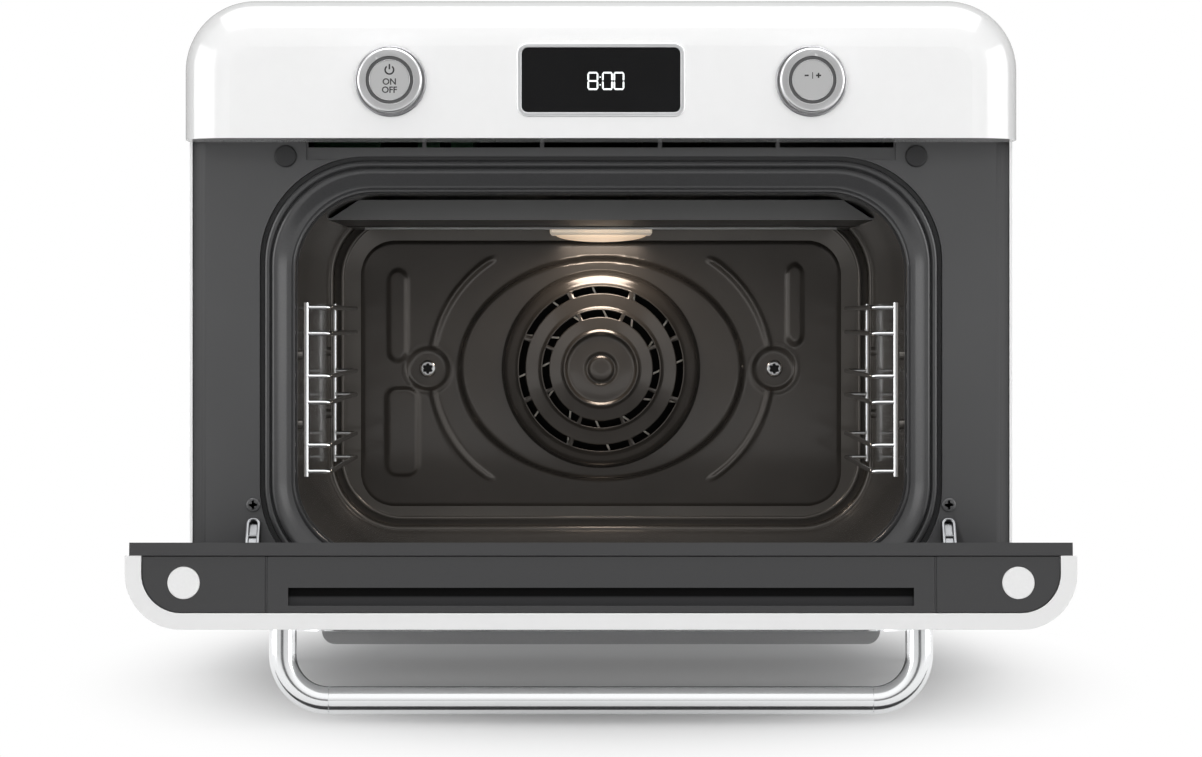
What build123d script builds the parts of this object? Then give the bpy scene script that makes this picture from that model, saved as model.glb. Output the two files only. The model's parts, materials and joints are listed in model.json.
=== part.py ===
"""Countertop steam oven, door dropped open. Millimetres, +Z up, +Y to the back, +X to the right.

The origin lies on the table, under the middle of the box round the oven with its door open.
"""

import os
from math import cos, radians, sin, sqrt

from build123d import *

os.makedirs("parts", exist_ok=True)

# Overall sizes and casing
overall_width = 498.0
overall_height = 405.0
body_depth = 408.0
ground_clearance = 28.0
casing_corner = 42.0
front_round = 29.5
wrapper_wall = 1.6
wrapper_flange = 16.0
seat_gap = 0.3
slide_gap = 0.5
run_gap = 0.05
frame_gap = 1.0

# Control panel
hood_height = 83.5
hood_wall = 2.5
knob_offset = 124.4
knob_drop = 50.0
knob_radius = 19.0
knob_length = 10.8
knob_travel = 1.5
knob_lift = 2.2
knob_ring_radius = 21.05
knob_ring_height = 3.0
knob_wall = 3.0
knob_round = 1.4
knob_hub_radius = 5.5
groove_outer = 14.1
groove_width = 2.1
groove_depth = 1.6
insert_depth = 1.2
shaft_radius = 3.0
shaft_grip = 6.0
encoder_size = 15.0
encoder_corner = 1.0
encoder_depth = 10.0
bushing_radius = 4.8
display_drop = 49.2
bezel_width = 99.4
bezel_height = 43.7
bezel_corner = 6.5
bezel_rim = 2.3
bezel_proud = 1.3
bezel_depth = 6.0
bezel_lip = 1.2
glass_thickness = 2.5
board_thickness = 1.6
board_width = 300.0
board_height = 56.0
digit_block_width = 40.0
digit_block_height = 18.0
post_radius = 3.0

# Front frame round the cavity
frame_plate = 3.0
frame_top_lap = 9.0
step_count = 4
step_pitch = 1.9
step_drop = 0.6
opening_side_margin = 64.5
opening_low = 71.0
opening_top_margin = 30.8
opening_corner = 48.0
land_width = 22.2
land_corner = 64.0
channel_depth = 6.0
channel_wall = 2.0
gasket_outset = 18.0
gasket_inset = 7.7
gasket_round = 3.0
vent_inset = 6.0
vent_height = 3.2
vent_count = 5
vent_divider = 2.4
trough_height = 7.5
trough_depth = 1.8
bumper_outset = 6.4
bumper_radius = 6.7
bumper_drop = 8.5
bumper_proud = 2.6
screw_head_radius = 3.7
screw_head_height = 1.4
screw_radius = 1.6
screw_length = 9.0
frame_screw_outset = 26.1
frame_screw_height = 101.9

# Cavity
liner_wall = 1.2
rear_room = 59.6
cavity_round = 7.5
fan_pocket_depth = 26.0
fan_pocket_side_inset = 21.5
fan_pocket_foot_inset = 17.0
fan_pocket_top_inset = 25.2
fan_pocket_corner = 20.0
fan_drop = 0.85
baffle_side_inset = 17.5
baffle_foot_inset = 13.0
baffle_top_inset = 21.2
baffle_corner = 24.0
baffle_plate = 1.0
oval_half_width = 97.5
oval_margin = 16.75
oval_rise = 4.0
dome_margin = 8.4
dome_lean = 7.6
dome_rise = 11.0
slot_ring_insets = (12.0, 28.6)
slot_ring_width = 4.0
slot_ring_count = 8
slot_rib = 7.0
boss_radius = 9.0
boss_rise = 2.0
dish_radius = 15.0
dish_inset = 47.2
baffle_screw_head = 6.4
ceiling_plate_drop = 14.7
ceiling_plate_wall = 1.2
ceiling_front = 58.0
ceiling_lip = 12.5
ceiling_slot_length = 100.0
ceiling_slot_width = 5.0
ceiling_slot_count = 7
lamp_width = 69.0
lamp_depth = 40.0
lamp_height = 6.4
lamp_corner = 5.0
lamp_round = 2.5
lamp_wall = 1.2
lamp_from_rear = 24.0
bulb_radius = 2.0
bulb_length = 30.0

# Wire racks
rack_wire = 1.5
rack_post = 1.8
rack_post_end = 3.0
rack_inset = 4.3
rack_reach = 14.5
rack_front = 20.0
rack_rear_room = 74.0
rack_levels = (129.1, 171.35, 213.45)
rack_pair_height = 16.0
rack_bend = 4.0
stud_radius = 3.0

# Heaters, fan and what drives it
ring_heater_outset = 6.4
heater_tube = 3.2
heater_lead_offset = 14.0
grill_half = 140.0
grill_front = 90.0
grill_rear_room = 50.0
grill_bend = 14.0
grill_lead_offset = 24.0
fan_disc_inset = 9.6
fan_disc_wall = 1.2
fan_blade_height = 11.0
fan_blade_wall = 1.2
fan_blade_length = 28.0
fan_blade_count = 12
fan_blade_angle = 25.0
fan_back_gap = 5.0
fan_hub_radius = 7.0
fan_shaft_radius = 4.0
motor_radius = 32.0
motor_length = 18.0
motor_strap = 9.0
motor_strap_reach = 48.0

# Upper deck and back
insulation_thickness = 16.0
deck_wall = 1.2
deck_gap = 0.4
power_board_width = 150.0
power_board_depth = 150.0
power_board_x = -140.0
power_board_from_front = 120.0
board_post_height = 8.0
board_post_inset = 10.0
capacitor_width = 14.0
capacitor_depth = 21.0
capacitor_height = 17.0
transformer_size = 42.0
transformer_height = 33.6
blower_x = -70.0
blower_length = 200.0
blower_radius = 24.0
blower_wall = 1.5
blower_from_rear = 46.0
blower_blade_count = 14
blower_blade_depth = 7.0
blower_blade_angle = 30.0
blower_room = 4.0
blower_shaft_radius = 3.0
rear_cover_wall = 1.2
rear_gap = 8.0
rear_slot_count = 9
rear_slot_pitch = 14.0
rear_slot_length = 110.0
rear_slot_width = 5.0
gland_radius = 9.0
gland_collar = 7.0
gland_bore = 4.0
gland_from_side = 54.0
gland_height = 70.0
rear_screw_rise = 30.0

# Water side
tank_x = 126.0
tank_width = 112.0
tank_length = 142.0
tank_from_rear = 85.0
tank_height = 84.0
tank_wall = 2.0
tank_corner = 14.0
tank_flange = 6.0
tank_top = 2.5
bay_wall = 1.6
fill_hole_radius = 15.0
flap_width = 46.0
flap_length = 44.0
flap_wall = 2.0
flap_corner = 3.0
flap_room = 3.5
flap_notch = 5.0
flap_pin = 0.7
flap_pin_length = 1.2
grip_width = 70.0
grip_length = 22.0
grip_depth = 14.0
boiler_radius = 18.0
boiler_height = 150.0
boiler_from_side = 24.0
boiler_round = 4.0
boiler_behind_cavity = 13.0
pipe_radius = 4.0
pipe_wall = 0.8
pipe_bend = 12.0
pipe_rise = 25.0
pump_width = 36.0
pump_depth = 40.0
pump_height = 40.0
pump_corner = 4.0
pump_from_side = 30.0
spigot_radius = 2.0
hose_radius = 3.0
hose_offset = 10.0

# Feet and drip tray
foot_radius = 8.5
foot_from_side = 49.5
foot_front = 75.0
foot_behind_cavity = 10.0
foot_recess = 3.0
foot_screw_radius = 4.6
pan_wall = 1.2
pan_lip = 18.0
tray_outset = 0.4
tray_bottom = 17.5
tray_front_wall = 3.0
tray_front_corner = 8.0
tray_body_inset = 19.0
tray_depth = 100.0
tray_wall = 1.5
tray_flange = 6.0
rail_wall = 2.0
rail_ledge = 7.0

# Door, measured from its pivot: up is towards the handle edge, out is away from the cavity
door_thickness = 45.4
door_heel = 20.0
door_rise = 4.4
door_top_gap = 2.5
closed_gap = 3.0
pivot_forward = 25.0
pivot_height = 55.4
heel_inner_round = 20.0
heel_outer_round = 10.0
shell_wall = 2.0
shell_rim = 8.6
shell_rim_corner = 21.0
inner_panel_thickness = 6.8
inner_panel_inset = 2.3
end_cap_recess = 1.0
end_cap_wall = 4.5
crease_outset = 6.4
crease_width = 1.2
crease_depth = 0.8
grip_slot_inset = 11.5
grip_slot_height = 9.2
grip_slot_out = 6.3
grip_slot_depth = 3.5
plug_from_side = 30.8
plug_radius = 8.5
plug_wall = 2.5
plug_out = -1.0
inner_glass_outset = 11.5
inner_glass_low = 22.0
inner_glass_top_inset = 13.6
inner_glass_thickness = 3.5
inner_glass_corner = 10.0
glass_border = 24.0
window_side_inset = 6.6
window_low = 24.0
window_top_inset = 61.6
window_corner = 18.0
trim_flange = 5.0
trim_width = 4.0
trim_proud = 1.5
trim_collar = 4.0
outer_glass_thickness = 4.0
handle_from_side = 80.4
handle_radius = 7.3
handle_wall = 1.2
handle_bend = 24.4
handle_reach = 37.5
handle_inset = 28.0
spigot_length = 12.0
bolt_radius = 2.5
bolt_head_radius = 4.5
bolt_head_height = 3.0
bolt_grip = 9.0

# Door hinges
hinge_outset = 25.5
hinge_arm_width = 5.0
hinge_boss_radius = 7.0
hinge_slot_low = 66.0
hinge_slot_high = 91.0
hinge_slot_width = 8.0
hinge_cheek = 2.0
hinge_slot_corner = 2.0
hinge_tail = 30.0
hinge_pin_radius = 4.0
channel_inner_width = 13.0
channel_plate = 1.5
channel_length = 130.0
channel_heel = 9.0
channel_inner_edge = 13.0
door_slot_width = 12.0
door_slot_high = 46.0
clip_wire = 1.1
clip_bar = 0.8
clip_half_width = 3.3
clip_leg = 24.0

# Places worked out from the sizes above
casing_half = overall_width / 2
hood_depth = closed_gap + door_thickness
hood_bottom = overall_height - hood_height
opening_half = casing_half - opening_side_margin
opening_high = hood_bottom - opening_top_margin
knob_height = overall_height - knob_drop
display_height = overall_height - display_drop
vent_half = opening_half - vent_inset
bumper_offset = opening_half + bumper_outset
frame_screw_offset = opening_half + frame_screw_outset
cavity_depth = body_depth - hood_depth - rear_room
baffle_half = opening_half - baffle_side_inset
baffle_low = opening_low + baffle_foot_inset
baffle_high = opening_high - baffle_top_inset
fan_pocket_half = opening_half - fan_pocket_side_inset
fan_pocket_low = opening_low + fan_pocket_foot_inset
fan_pocket_high = opening_high - fan_pocket_top_inset
fan_height = (opening_low + opening_high) / 2 - fan_drop
oval_half_height = (baffle_high - baffle_low) / 2 - oval_margin
dome_radius = oval_half_height - dome_margin
dome_front_radius = dome_radius - dome_lean
slot_ring_radii = [dome_radius - inset for inset in slot_ring_insets]
ring_heater_radius = dome_radius + ring_heater_outset
fan_disc_radius = dome_radius - fan_disc_inset
fan_blade_inner = fan_disc_radius - fan_blade_length
dish_offset = baffle_half - dish_inset
ceiling_plate_height = opening_high - ceiling_plate_drop
rack_plane = opening_half - rack_inset
rack_length = cavity_depth - rack_rear_room
grill_rear = cavity_depth - grill_rear_room
gland_x = gland_from_side - casing_half
boiler_x = casing_half - boiler_from_side
boiler_from_front = cavity_depth + boiler_behind_cavity
foot_offset = casing_half - foot_from_side
foot_rear = cavity_depth + foot_behind_cavity
handle_offset = casing_half - handle_from_side
crease_offset = handle_offset + crease_outset
grip_slot_half = crease_offset - grip_slot_inset
plug_offset = casing_half - plug_from_side
window_half = handle_offset - window_side_inset
inner_panel_half = casing_half - inner_panel_inset
inner_glass_half = opening_half + inner_glass_outset
hinge_offset = opening_half + hinge_outset
tray_half = handle_offset + tray_outset
tray_body_half = tray_half - tray_body_inset
inner_out = closed_gap - pivot_forward
outer_out = inner_out + door_thickness
door_top = hood_bottom - door_top_gap - pivot_height
inner_glass_high = door_top - inner_glass_top_inset
window_high = door_top - window_top_inset
rise_sin = sin(radians(door_rise))
rise_cos = cos(radians(door_rise))
door_forward = pivot_forward + door_top * rise_cos + outer_out * rise_sin
frame_y = (door_forward - (body_depth - hood_depth)) / 2
hood_front = frame_y - hood_depth
rear_y = hood_front + body_depth
cover_y = rear_y - rear_gap
cover_front = cover_y - rear_cover_wall
flange_front = cover_front - wrapper_wall
pivot_y = frame_y - pivot_forward
opening_middle = (opening_low + opening_high) / 2
liner_front = frame_y + channel_depth + channel_wall
liner_rear = frame_y + cavity_depth
pocket_rear = liner_rear + fan_pocket_depth
deck_z = opening_high + liner_wall + seat_gap + insulation_thickness + deck_gap
deck_top = deck_z + deck_wall
panel_rear = frame_y + frame_plate
base_z = ground_clearance
pan_top = base_z + pan_wall
tank_y = frame_y + cavity_depth - tank_from_rear
side_inner = casing_half - wrapper_wall
rear_screw_offset = side_inner - wrapper_flange / 2
rear_screw_levels = (base_z + rear_screw_rise, overall_height - 2 * casing_corner)


def facing(y):
    """Upright plane at depth y, seen from the front: X to the right, Z up."""
    return Plane.XZ.offset(-y)


def level(z):
    """Flat plane at height z."""
    return Plane.XY.offset(z)


def beside(x):
    """Upright plane at X = x: Y to the back, Z up."""
    return Plane.YZ.offset(x)


up_door = Vector(0, -rise_cos, rise_sin)
out_door = Vector(0, -rise_sin, -rise_cos)
pivot = Vector(0, pivot_y, pivot_height)


def door_level(out):
    """Plane parallel to the door, `out` from the pivot: X across, the door's height upwards."""
    return Plane(origin=pivot + out_door * out, x_dir=(1, 0, 0), z_dir=out_door)


def door_side(x):
    """Plane across the hinge line at X = x: the door's height, then its thickness outwards."""
    return Plane(origin=pivot + Vector(x, 0, 0), x_dir=up_door, z_dir=(1, 0, 0))


def door_section(up):
    """Plane square to the door's height, `up` from the pivot: X across, then inwards."""
    return Plane(origin=pivot + up_door * up, x_dir=(1, 0, 0), z_dir=up_door)


def casing_outline(half, low, high, corner):
    """Upright outline with square feet and round shoulders."""
    with BuildLine(mode=Mode.PRIVATE) as outline:
        Line((-half, low), (half, low))
        Line((half, low), (half, high - corner))
        CenterArc((half - corner, high - corner), corner, 0, 90)
        Line((half - corner, high), (corner - half, high))
        CenterArc((corner - half, high - corner), corner, 90, 90)
        Line((-half, high - corner), (-half, low))
    add(outline.line)
    make_face()


def opening_outline(grow, mode=Mode.ADD):
    """The cavity's mouth, grown outwards: the corner grows as the land round the mouth does."""
    corner = opening_corner + grow * (land_corner - opening_corner) / land_width
    with Locations((0, opening_middle)):
        RectangleRounded(
            2 * (opening_half + grow), opening_high - opening_low + 2 * grow, corner, mode=mode
        )


def upright_panel(half, low, high, corner, mode=Mode.ADD):
    """Rounded rectangle from height low to height high, centred across."""
    with Locations((0, (low + high) / 2)):
        RectangleRounded(2 * half, high - low, corner, mode=mode)


# Control panel: a hood with a round front edge, open at the back
with BuildPart() as control_fascia:
    with BuildSketch(facing(frame_y)):
        casing_outline(casing_half, hood_bottom, overall_height, casing_corner)
    extrude(amount=hood_depth)
    front_edges = faces().sort_by(Axis.Y)[0].edges().sort_by(Axis.Z)[1:]
    fillet(front_edges, front_round)
    offset(amount=-hood_wall, openings=faces().sort_by(Axis.Y)[-1])
    with BuildSketch(facing(hood_front)):
        with Locations((0, display_height)):
            RectangleRounded(
                bezel_width - bezel_rim, bezel_height - bezel_rim, bezel_corner - bezel_rim / 2
            )
        with Locations((-knob_offset, knob_height), (knob_offset, knob_height)):
            Circle(bushing_radius + seat_gap)
    extrude(amount=-2 * hood_wall, mode=Mode.SUBTRACT)
    post_front = hood_front + hood_wall
    post_length = seat_gap + encoder_depth
    with BuildSketch(facing(post_front)):
        with Locations((0, knob_height)):
            with GridLocations(board_width - 4 * post_radius, board_height - 4 * post_radius, 2, 2):
                Circle(post_radius)
    extrude(amount=-post_length)
control_fascia.part.label = "control_fascia"

collar_width = bezel_width - bezel_rim - 2 * seat_gap
collar_height = bezel_height - bezel_rim - 2 * seat_gap
collar_corner = bezel_corner - bezel_rim / 2 - seat_gap
with BuildPart() as display_bezel:
    with BuildSketch(facing(hood_front)):
        with Locations((0, display_height)):
            RectangleRounded(bezel_width, bezel_height, bezel_corner)
    extrude(amount=bezel_proud)
    fillet(faces().sort_by(Axis.Y)[0].edges(), bezel_proud / 2)
    with BuildSketch(facing(hood_front)):
        with Locations((0, display_height)):
            RectangleRounded(collar_width, collar_height, collar_corner)
    extrude(amount=-bezel_depth)
    with BuildSketch(facing(hood_front - bezel_proud)):
        with Locations((0, display_height)):
            RectangleRounded(
                collar_width - 2 * bezel_lip,
                collar_height - 2 * bezel_lip,
                collar_corner - bezel_lip,
            )
    extrude(amount=-(bezel_proud + bezel_depth), mode=Mode.SUBTRACT)
display_bezel.part.label = "display_bezel"

glass_slack = 2 * (bezel_lip + seat_gap)
with BuildPart() as display_glass:
    with BuildSketch(facing(hood_front - bezel_proud / 2)):
        with Locations((0, display_height)):
            RectangleRounded(
                collar_width - glass_slack, collar_height - glass_slack, collar_corner - glass_slack / 2
            )
    extrude(amount=-glass_thickness)
display_glass.part.label = "display_glass"

board_y = hood_front + hood_wall + seat_gap + encoder_depth
glass_back = hood_front - bezel_proud / 2 + glass_thickness
with BuildPart() as control_board:
    with BuildSketch(facing(board_y)):
        with Locations((0, knob_height)):
            Rectangle(board_width, board_height)
    extrude(amount=-board_thickness)
    with BuildSketch(facing(board_y)):
        with Locations((0, display_height)):
            Rectangle(digit_block_width, digit_block_height)
    extrude(amount=board_y - glass_back - seat_gap)
control_board.part.label = "control_board"

with BuildPart() as knob_rings:
    with BuildSketch(facing(hood_front)):
        with Locations((-knob_offset, knob_height), (knob_offset, knob_height)):
            Circle(knob_ring_radius)
            Circle(knob_radius + slide_gap, mode=Mode.SUBTRACT)
    extrude(amount=knob_ring_height)
    ring_edges = edges().filter_by(GeomType.CIRCLE).group_by(Axis.Y)[0]
    fillet(ring_edges.filter_by(lambda edge: edge.radius > knob_radius + 2 * slide_gap), 1.0)
knob_rings.part.label = "knob_rings"

with BuildPart() as encoder_bodies:
    with BuildSketch(facing(board_y)):
        with Locations((-knob_offset, knob_height), (knob_offset, knob_height)):
            RectangleRounded(encoder_size, encoder_size, encoder_corner)
    extrude(amount=encoder_depth)
    with BuildSketch(facing(board_y - encoder_depth)):
        with Locations((-knob_offset, knob_height), (knob_offset, knob_height)):
            Circle(bushing_radius)
    extrude(amount=hood_wall + 2 * seat_gap)
    with BuildSketch(facing(hood_front - 2 * seat_gap)):
        with Locations((-knob_offset, knob_height), (knob_offset, knob_height)):
            Circle(shaft_radius + run_gap)
    extrude(amount=-(hood_wall + encoder_depth), mode=Mode.SUBTRACT)
encoder_bodies.part.label = "encoder_bodies"


def build_knob(side, x):
    """Push-and-turn knob: a round cap with a ring groove round a shallow centre pocket."""
    with BuildPart() as knob:
        with BuildSketch(facing(hood_front - knob_lift)):
            with Locations((x, knob_height)):
                Circle(knob_radius)
        extrude(amount=knob_length)
        front_y = hood_front - knob_lift - knob_length
        fillet(edges().filter_by(GeomType.CIRCLE).sort_by(Axis.Y)[0], knob_round)
        with BuildSketch(facing(front_y)):
            with Locations((x, knob_height)):
                Circle(groove_outer)
                Circle(groove_outer - groove_width, mode=Mode.SUBTRACT)
        extrude(amount=-groove_depth, mode=Mode.SUBTRACT)
        with BuildSketch(facing(front_y)):
            with Locations((x, knob_height)):
                Circle(groove_outer - groove_width - seat_gap)
        extrude(amount=-insert_depth, mode=Mode.SUBTRACT)
        with BuildSketch(facing(hood_front - knob_lift)):
            with Locations((x, knob_height)):
                Circle(knob_radius - knob_wall)
                Circle(knob_hub_radius, mode=Mode.SUBTRACT)
        extrude(amount=knob_length - knob_wall, mode=Mode.SUBTRACT)
        with BuildSketch(facing(hood_front - knob_lift)):
            with Locations((x, knob_height)):
                Circle(shaft_radius + run_gap)
        extrude(amount=shaft_grip + knob_travel + seat_gap, mode=Mode.SUBTRACT)
    knob.part.label = f"{side}_knob"
    return knob


def build_knob_insert(side, x):
    """Brushed disc let into the knob's face."""
    face_y = hood_front - knob_lift - knob_length
    with BuildPart() as insert:
        with BuildSketch(facing(face_y + insert_depth)):
            with Locations((x, knob_height)):
                Circle(groove_outer - groove_width - 2 * seat_gap)
        extrude(amount=insert_depth)
    insert.part.label = f"{side}_knob_insert"
    return insert


def build_encoder_shaft(side, x):
    """Shaft that turns in the encoder's bushing; the knob slides on it when pushed."""
    with BuildPart() as shaft:
        with BuildSketch(facing(board_y - 3 * seat_gap)):
            with Locations((x, knob_height)):
                Circle(shaft_radius)
        extrude(amount=board_y - 3 * seat_gap - hood_front + knob_lift + shaft_grip)
        chamfer(edges().filter_by(GeomType.CIRCLE).sort_by(Axis.Y)[0], 0.5)
    shaft.part.label = f"{side}_encoder_shaft"
    return shaft


knob_parts = []
for knob_side, knob_x in (("left", -knob_offset), ("right", knob_offset)):
    knob_parts.append(build_knob(knob_side, knob_x))
    knob_parts.append(build_knob_insert(knob_side, knob_x))
    knob_parts.append(build_encoder_shaft(knob_side, knob_x))

# Casing wrapped over the top and both sides
wrapper_depth = cover_y - frame_y
well_width = tank_width + 2 * (tank_flange + slide_gap)
well_length = tank_length + 2 * (tank_flange + slide_gap)
well_corner = tank_corner + tank_flange
with BuildPart() as outer_wrapper:
    with BuildSketch(facing(frame_y)):
        casing_outline(casing_half, base_z, overall_height, casing_corner)
    extrude(amount=-wrapper_depth)
    with BuildSketch(facing(frame_y)):
        casing_outline(
            side_inner, base_z - wrapper_wall, overall_height - wrapper_wall, casing_corner - wrapper_wall
        )
    extrude(amount=-wrapper_depth, mode=Mode.SUBTRACT)
    with BuildSketch(facing(cover_front)):
        casing_outline(side_inner, base_z, overall_height - wrapper_wall, casing_corner - wrapper_wall)
    extrude(amount=wrapper_wall)
    with BuildSketch(facing(cover_front)):
        casing_outline(
            side_inner - wrapper_flange,
            base_z - wrapper_wall,
            overall_height - wrapper_wall - wrapper_flange,
            casing_corner - wrapper_wall - wrapper_flange,
        )
    extrude(amount=wrapper_wall, mode=Mode.SUBTRACT)
    with BuildSketch(facing(cover_front)):
        for screw_z in rear_screw_levels:
            with Locations((-rear_screw_offset, screw_z), (rear_screw_offset, screw_z)):
                Circle(screw_radius + run_gap)
    extrude(amount=wrapper_wall, mode=Mode.SUBTRACT)
    with BuildSketch(level(overall_height)):
        with Locations((tank_x, tank_y)):
            RectangleRounded(well_width, well_length, well_corner)
    extrude(amount=-2 * wrapper_wall, mode=Mode.SUBTRACT)
outer_wrapper.part.label = "outer_wrapper"

# Front frame: a stepped panel with a channel round the cavity's mouth
frame_half = side_inner - seat_gap
frame_high = hood_bottom + frame_top_lap
trough_top = hood_bottom - vent_height
bumper_z = hood_bottom - bumper_drop
vent_pitch = 2 * vent_half / vent_count
with BuildPart() as front_frame:
    with BuildSketch(facing(panel_rear)):
        with Locations((0, (base_z + seat_gap + frame_high) / 2)):
            Rectangle(2 * frame_half, frame_high - base_z - seat_gap)
    extrude(amount=frame_plate)
    with BuildSketch(facing(liner_front)):
        opening_outline(land_width + channel_wall)
    extrude(amount=channel_depth + channel_wall)
    with BuildSketch(facing(frame_y)):
        opening_outline(land_width)
    extrude(amount=-channel_depth, mode=Mode.SUBTRACT)
    with BuildSketch(facing(frame_y)):
        opening_outline(0)
    extrude(amount=-(channel_depth + channel_wall), mode=Mode.SUBTRACT)
    for step in range(step_count):
        strip_inner = frame_half - (step_count - step) * step_pitch
        with BuildSketch(facing(frame_y)):
            with Locations((0, opening_middle)):
                Rectangle(2 * casing_half, 2 * overall_height)
                Rectangle(2 * strip_inner, 2 * overall_height, mode=Mode.SUBTRACT)
        extrude(amount=-(step + 1) * step_drop, mode=Mode.SUBTRACT)
    with BuildSketch(facing(frame_y)):
        with Locations((0, trough_top - trough_height / 2)):
            SlotOverall(2 * vent_half, trough_height)
        with Locations((0, hood_bottom - vent_height)):
            Rectangle(2 * vent_half, trough_height, align=(Align.CENTER, Align.MAX))
            Rectangle(2 * vent_half, vent_height, align=(Align.CENTER, Align.MIN))
    extrude(amount=-trough_depth, mode=Mode.SUBTRACT)
    with BuildSketch(facing(frame_y)):
        with Locations((0, hood_bottom - vent_height / 2)):
            with GridLocations(vent_pitch, vent_height, vent_count, 1):
                Rectangle(vent_pitch - vent_divider, vent_height)
    extrude(amount=-frame_plate, mode=Mode.SUBTRACT)
    with BuildSketch(facing(frame_y)):
        with Locations((-hinge_offset, 0), (hinge_offset, 0)):
            with Locations((0, (hinge_slot_low + hinge_slot_high) / 2)):
                RectangleRounded(
                    hinge_slot_width, hinge_slot_high - hinge_slot_low + 4 * frame_gap, hinge_slot_corner
                )
    extrude(amount=-(channel_depth + channel_wall), mode=Mode.SUBTRACT)
    with BuildSketch(facing(frame_y)):
        with Locations((-frame_screw_offset, frame_screw_height), (frame_screw_offset, frame_screw_height)):
            Circle(screw_radius + run_gap)
        with Locations((-bumper_offset, bumper_z), (bumper_offset, bumper_z)):
            Circle(bumper_radius / 2)
    extrude(amount=-frame_plate, mode=Mode.SUBTRACT)
    with BuildSketch(facing(frame_y + hinge_tail)):
        for slot_x in (-hinge_offset, hinge_offset):
            with Locations((slot_x, (hinge_slot_low + hinge_slot_high) / 2)):
                with GridLocations(hinge_arm_width + 2 * seat_gap + hinge_cheek, 1, 2, 1):
                    Rectangle(hinge_cheek, hinge_slot_high - hinge_slot_low + 2 * frame_gap)
    extrude(amount=hinge_tail - frame_plate)
front_frame.part.label = "front_frame"

with BuildPart() as door_gasket:
    with BuildSketch(facing(frame_y + channel_depth)):
        opening_outline(gasket_outset)
        opening_outline(gasket_inset, mode=Mode.SUBTRACT)
    extrude(amount=channel_depth + closed_gap - seat_gap)
    fillet(faces().sort_by(Axis.Y)[0].edges(), gasket_round)
door_gasket.part.label = "door_gasket"

with BuildPart() as frame_bumpers:
    with BuildSketch(facing(frame_y)):
        with Locations((-bumper_offset, bumper_z), (bumper_offset, bumper_z)):
            Circle(bumper_radius)
    extrude(amount=bumper_proud)
    fillet(edges().filter_by(GeomType.CIRCLE).group_by(Axis.Y)[0], bumper_proud / 2)
    with BuildSketch(facing(frame_y)):
        with Locations((-bumper_offset, bumper_z), (bumper_offset, bumper_z)):
            Circle(bumper_radius / 2 - run_gap)
    extrude(amount=-frame_plate)
frame_bumpers.part.label = "frame_bumpers"

lead_height = fan_height + ring_heater_radius

# Cavity liner: a drawn box with a rim and a fan pocket at the back, and studs that hold the racks
with BuildPart() as cavity_space:
    with BuildSketch(facing(liner_front)):
        opening_outline(0)
    extrude(amount=-(liner_rear - liner_front))
    fillet(faces().sort_by(Axis.Y)[-1].edges(), cavity_round)
with BuildPart() as cavity_liner:
    with BuildSketch(facing(liner_front)):
        opening_outline(liner_wall)
    extrude(amount=-(liner_rear + liner_wall - liner_front))
    fillet(faces().sort_by(Axis.Y)[-1].edges(), cavity_round + liner_wall)
    add(cavity_space.part, mode=Mode.SUBTRACT)
    with BuildSketch(facing(liner_rear)):
        upright_panel(
            fan_pocket_half + liner_wall,
            fan_pocket_low - liner_wall,
            fan_pocket_high + liner_wall,
            fan_pocket_corner + liner_wall,
        )
    extrude(amount=-(fan_pocket_depth + liner_wall))
    with BuildSketch(facing(liner_rear - cavity_round)):
        upright_panel(fan_pocket_half, fan_pocket_low, fan_pocket_high, fan_pocket_corner)
    extrude(amount=-(cavity_round + fan_pocket_depth), mode=Mode.SUBTRACT)
    with BuildSketch(facing(pocket_rear)):
        with Locations((0, fan_height)):
            Circle(fan_shaft_radius + seat_gap)
        with Locations((-heater_lead_offset, lead_height), (heater_lead_offset, lead_height)):
            Circle(heater_tube + seat_gap)
    extrude(amount=-2 * liner_wall, mode=Mode.SUBTRACT)
    grill_z = ceiling_plate_height + (opening_high - ceiling_plate_height) / 2 + ceiling_plate_wall / 2
    with BuildSketch(facing(liner_rear - cavity_round)):
        with Locations((-grill_lead_offset, grill_z), (grill_lead_offset, grill_z)):
            Circle(heater_tube + seat_gap)
    extrude(amount=-2 * cavity_round, mode=Mode.SUBTRACT)
    steam_z = pan_top + boiler_height + pipe_rise
    steam_y = frame_y + boiler_from_front
    with BuildSketch(beside(fan_pocket_half - liner_wall)):
        with Locations((steam_y, steam_z)):
            Circle(pipe_radius + seat_gap)
    extrude(amount=3 * liner_wall, mode=Mode.SUBTRACT)
    with BuildSketch(facing(liner_rear - liner_wall)):
        with Locations((-dish_offset, fan_height), (dish_offset, fan_height)):
            Circle(screw_radius + run_gap)
    extrude(amount=-3 * liner_wall, mode=Mode.SUBTRACT)
    stud_levels = ((rack_levels[0] + rack_levels[1]) / 2, (rack_levels[1] + rack_levels[2]) / 2)
    stud_length = opening_half - rack_plane - rack_post - seat_gap
    for stud_hand in (-1, 1):
        with BuildSketch(beside(stud_hand * (opening_half + liner_wall / 2))):
            for stud_z in stud_levels:
                for stud_y in (frame_y + rack_front, frame_y + rack_front + rack_length):
                    with Locations((stud_y, stud_z)):
                        Circle(stud_radius)
        extrude(amount=-stud_hand * (stud_length + liner_wall / 2))
cavity_liner.part.label = "cavity_liner"

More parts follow.
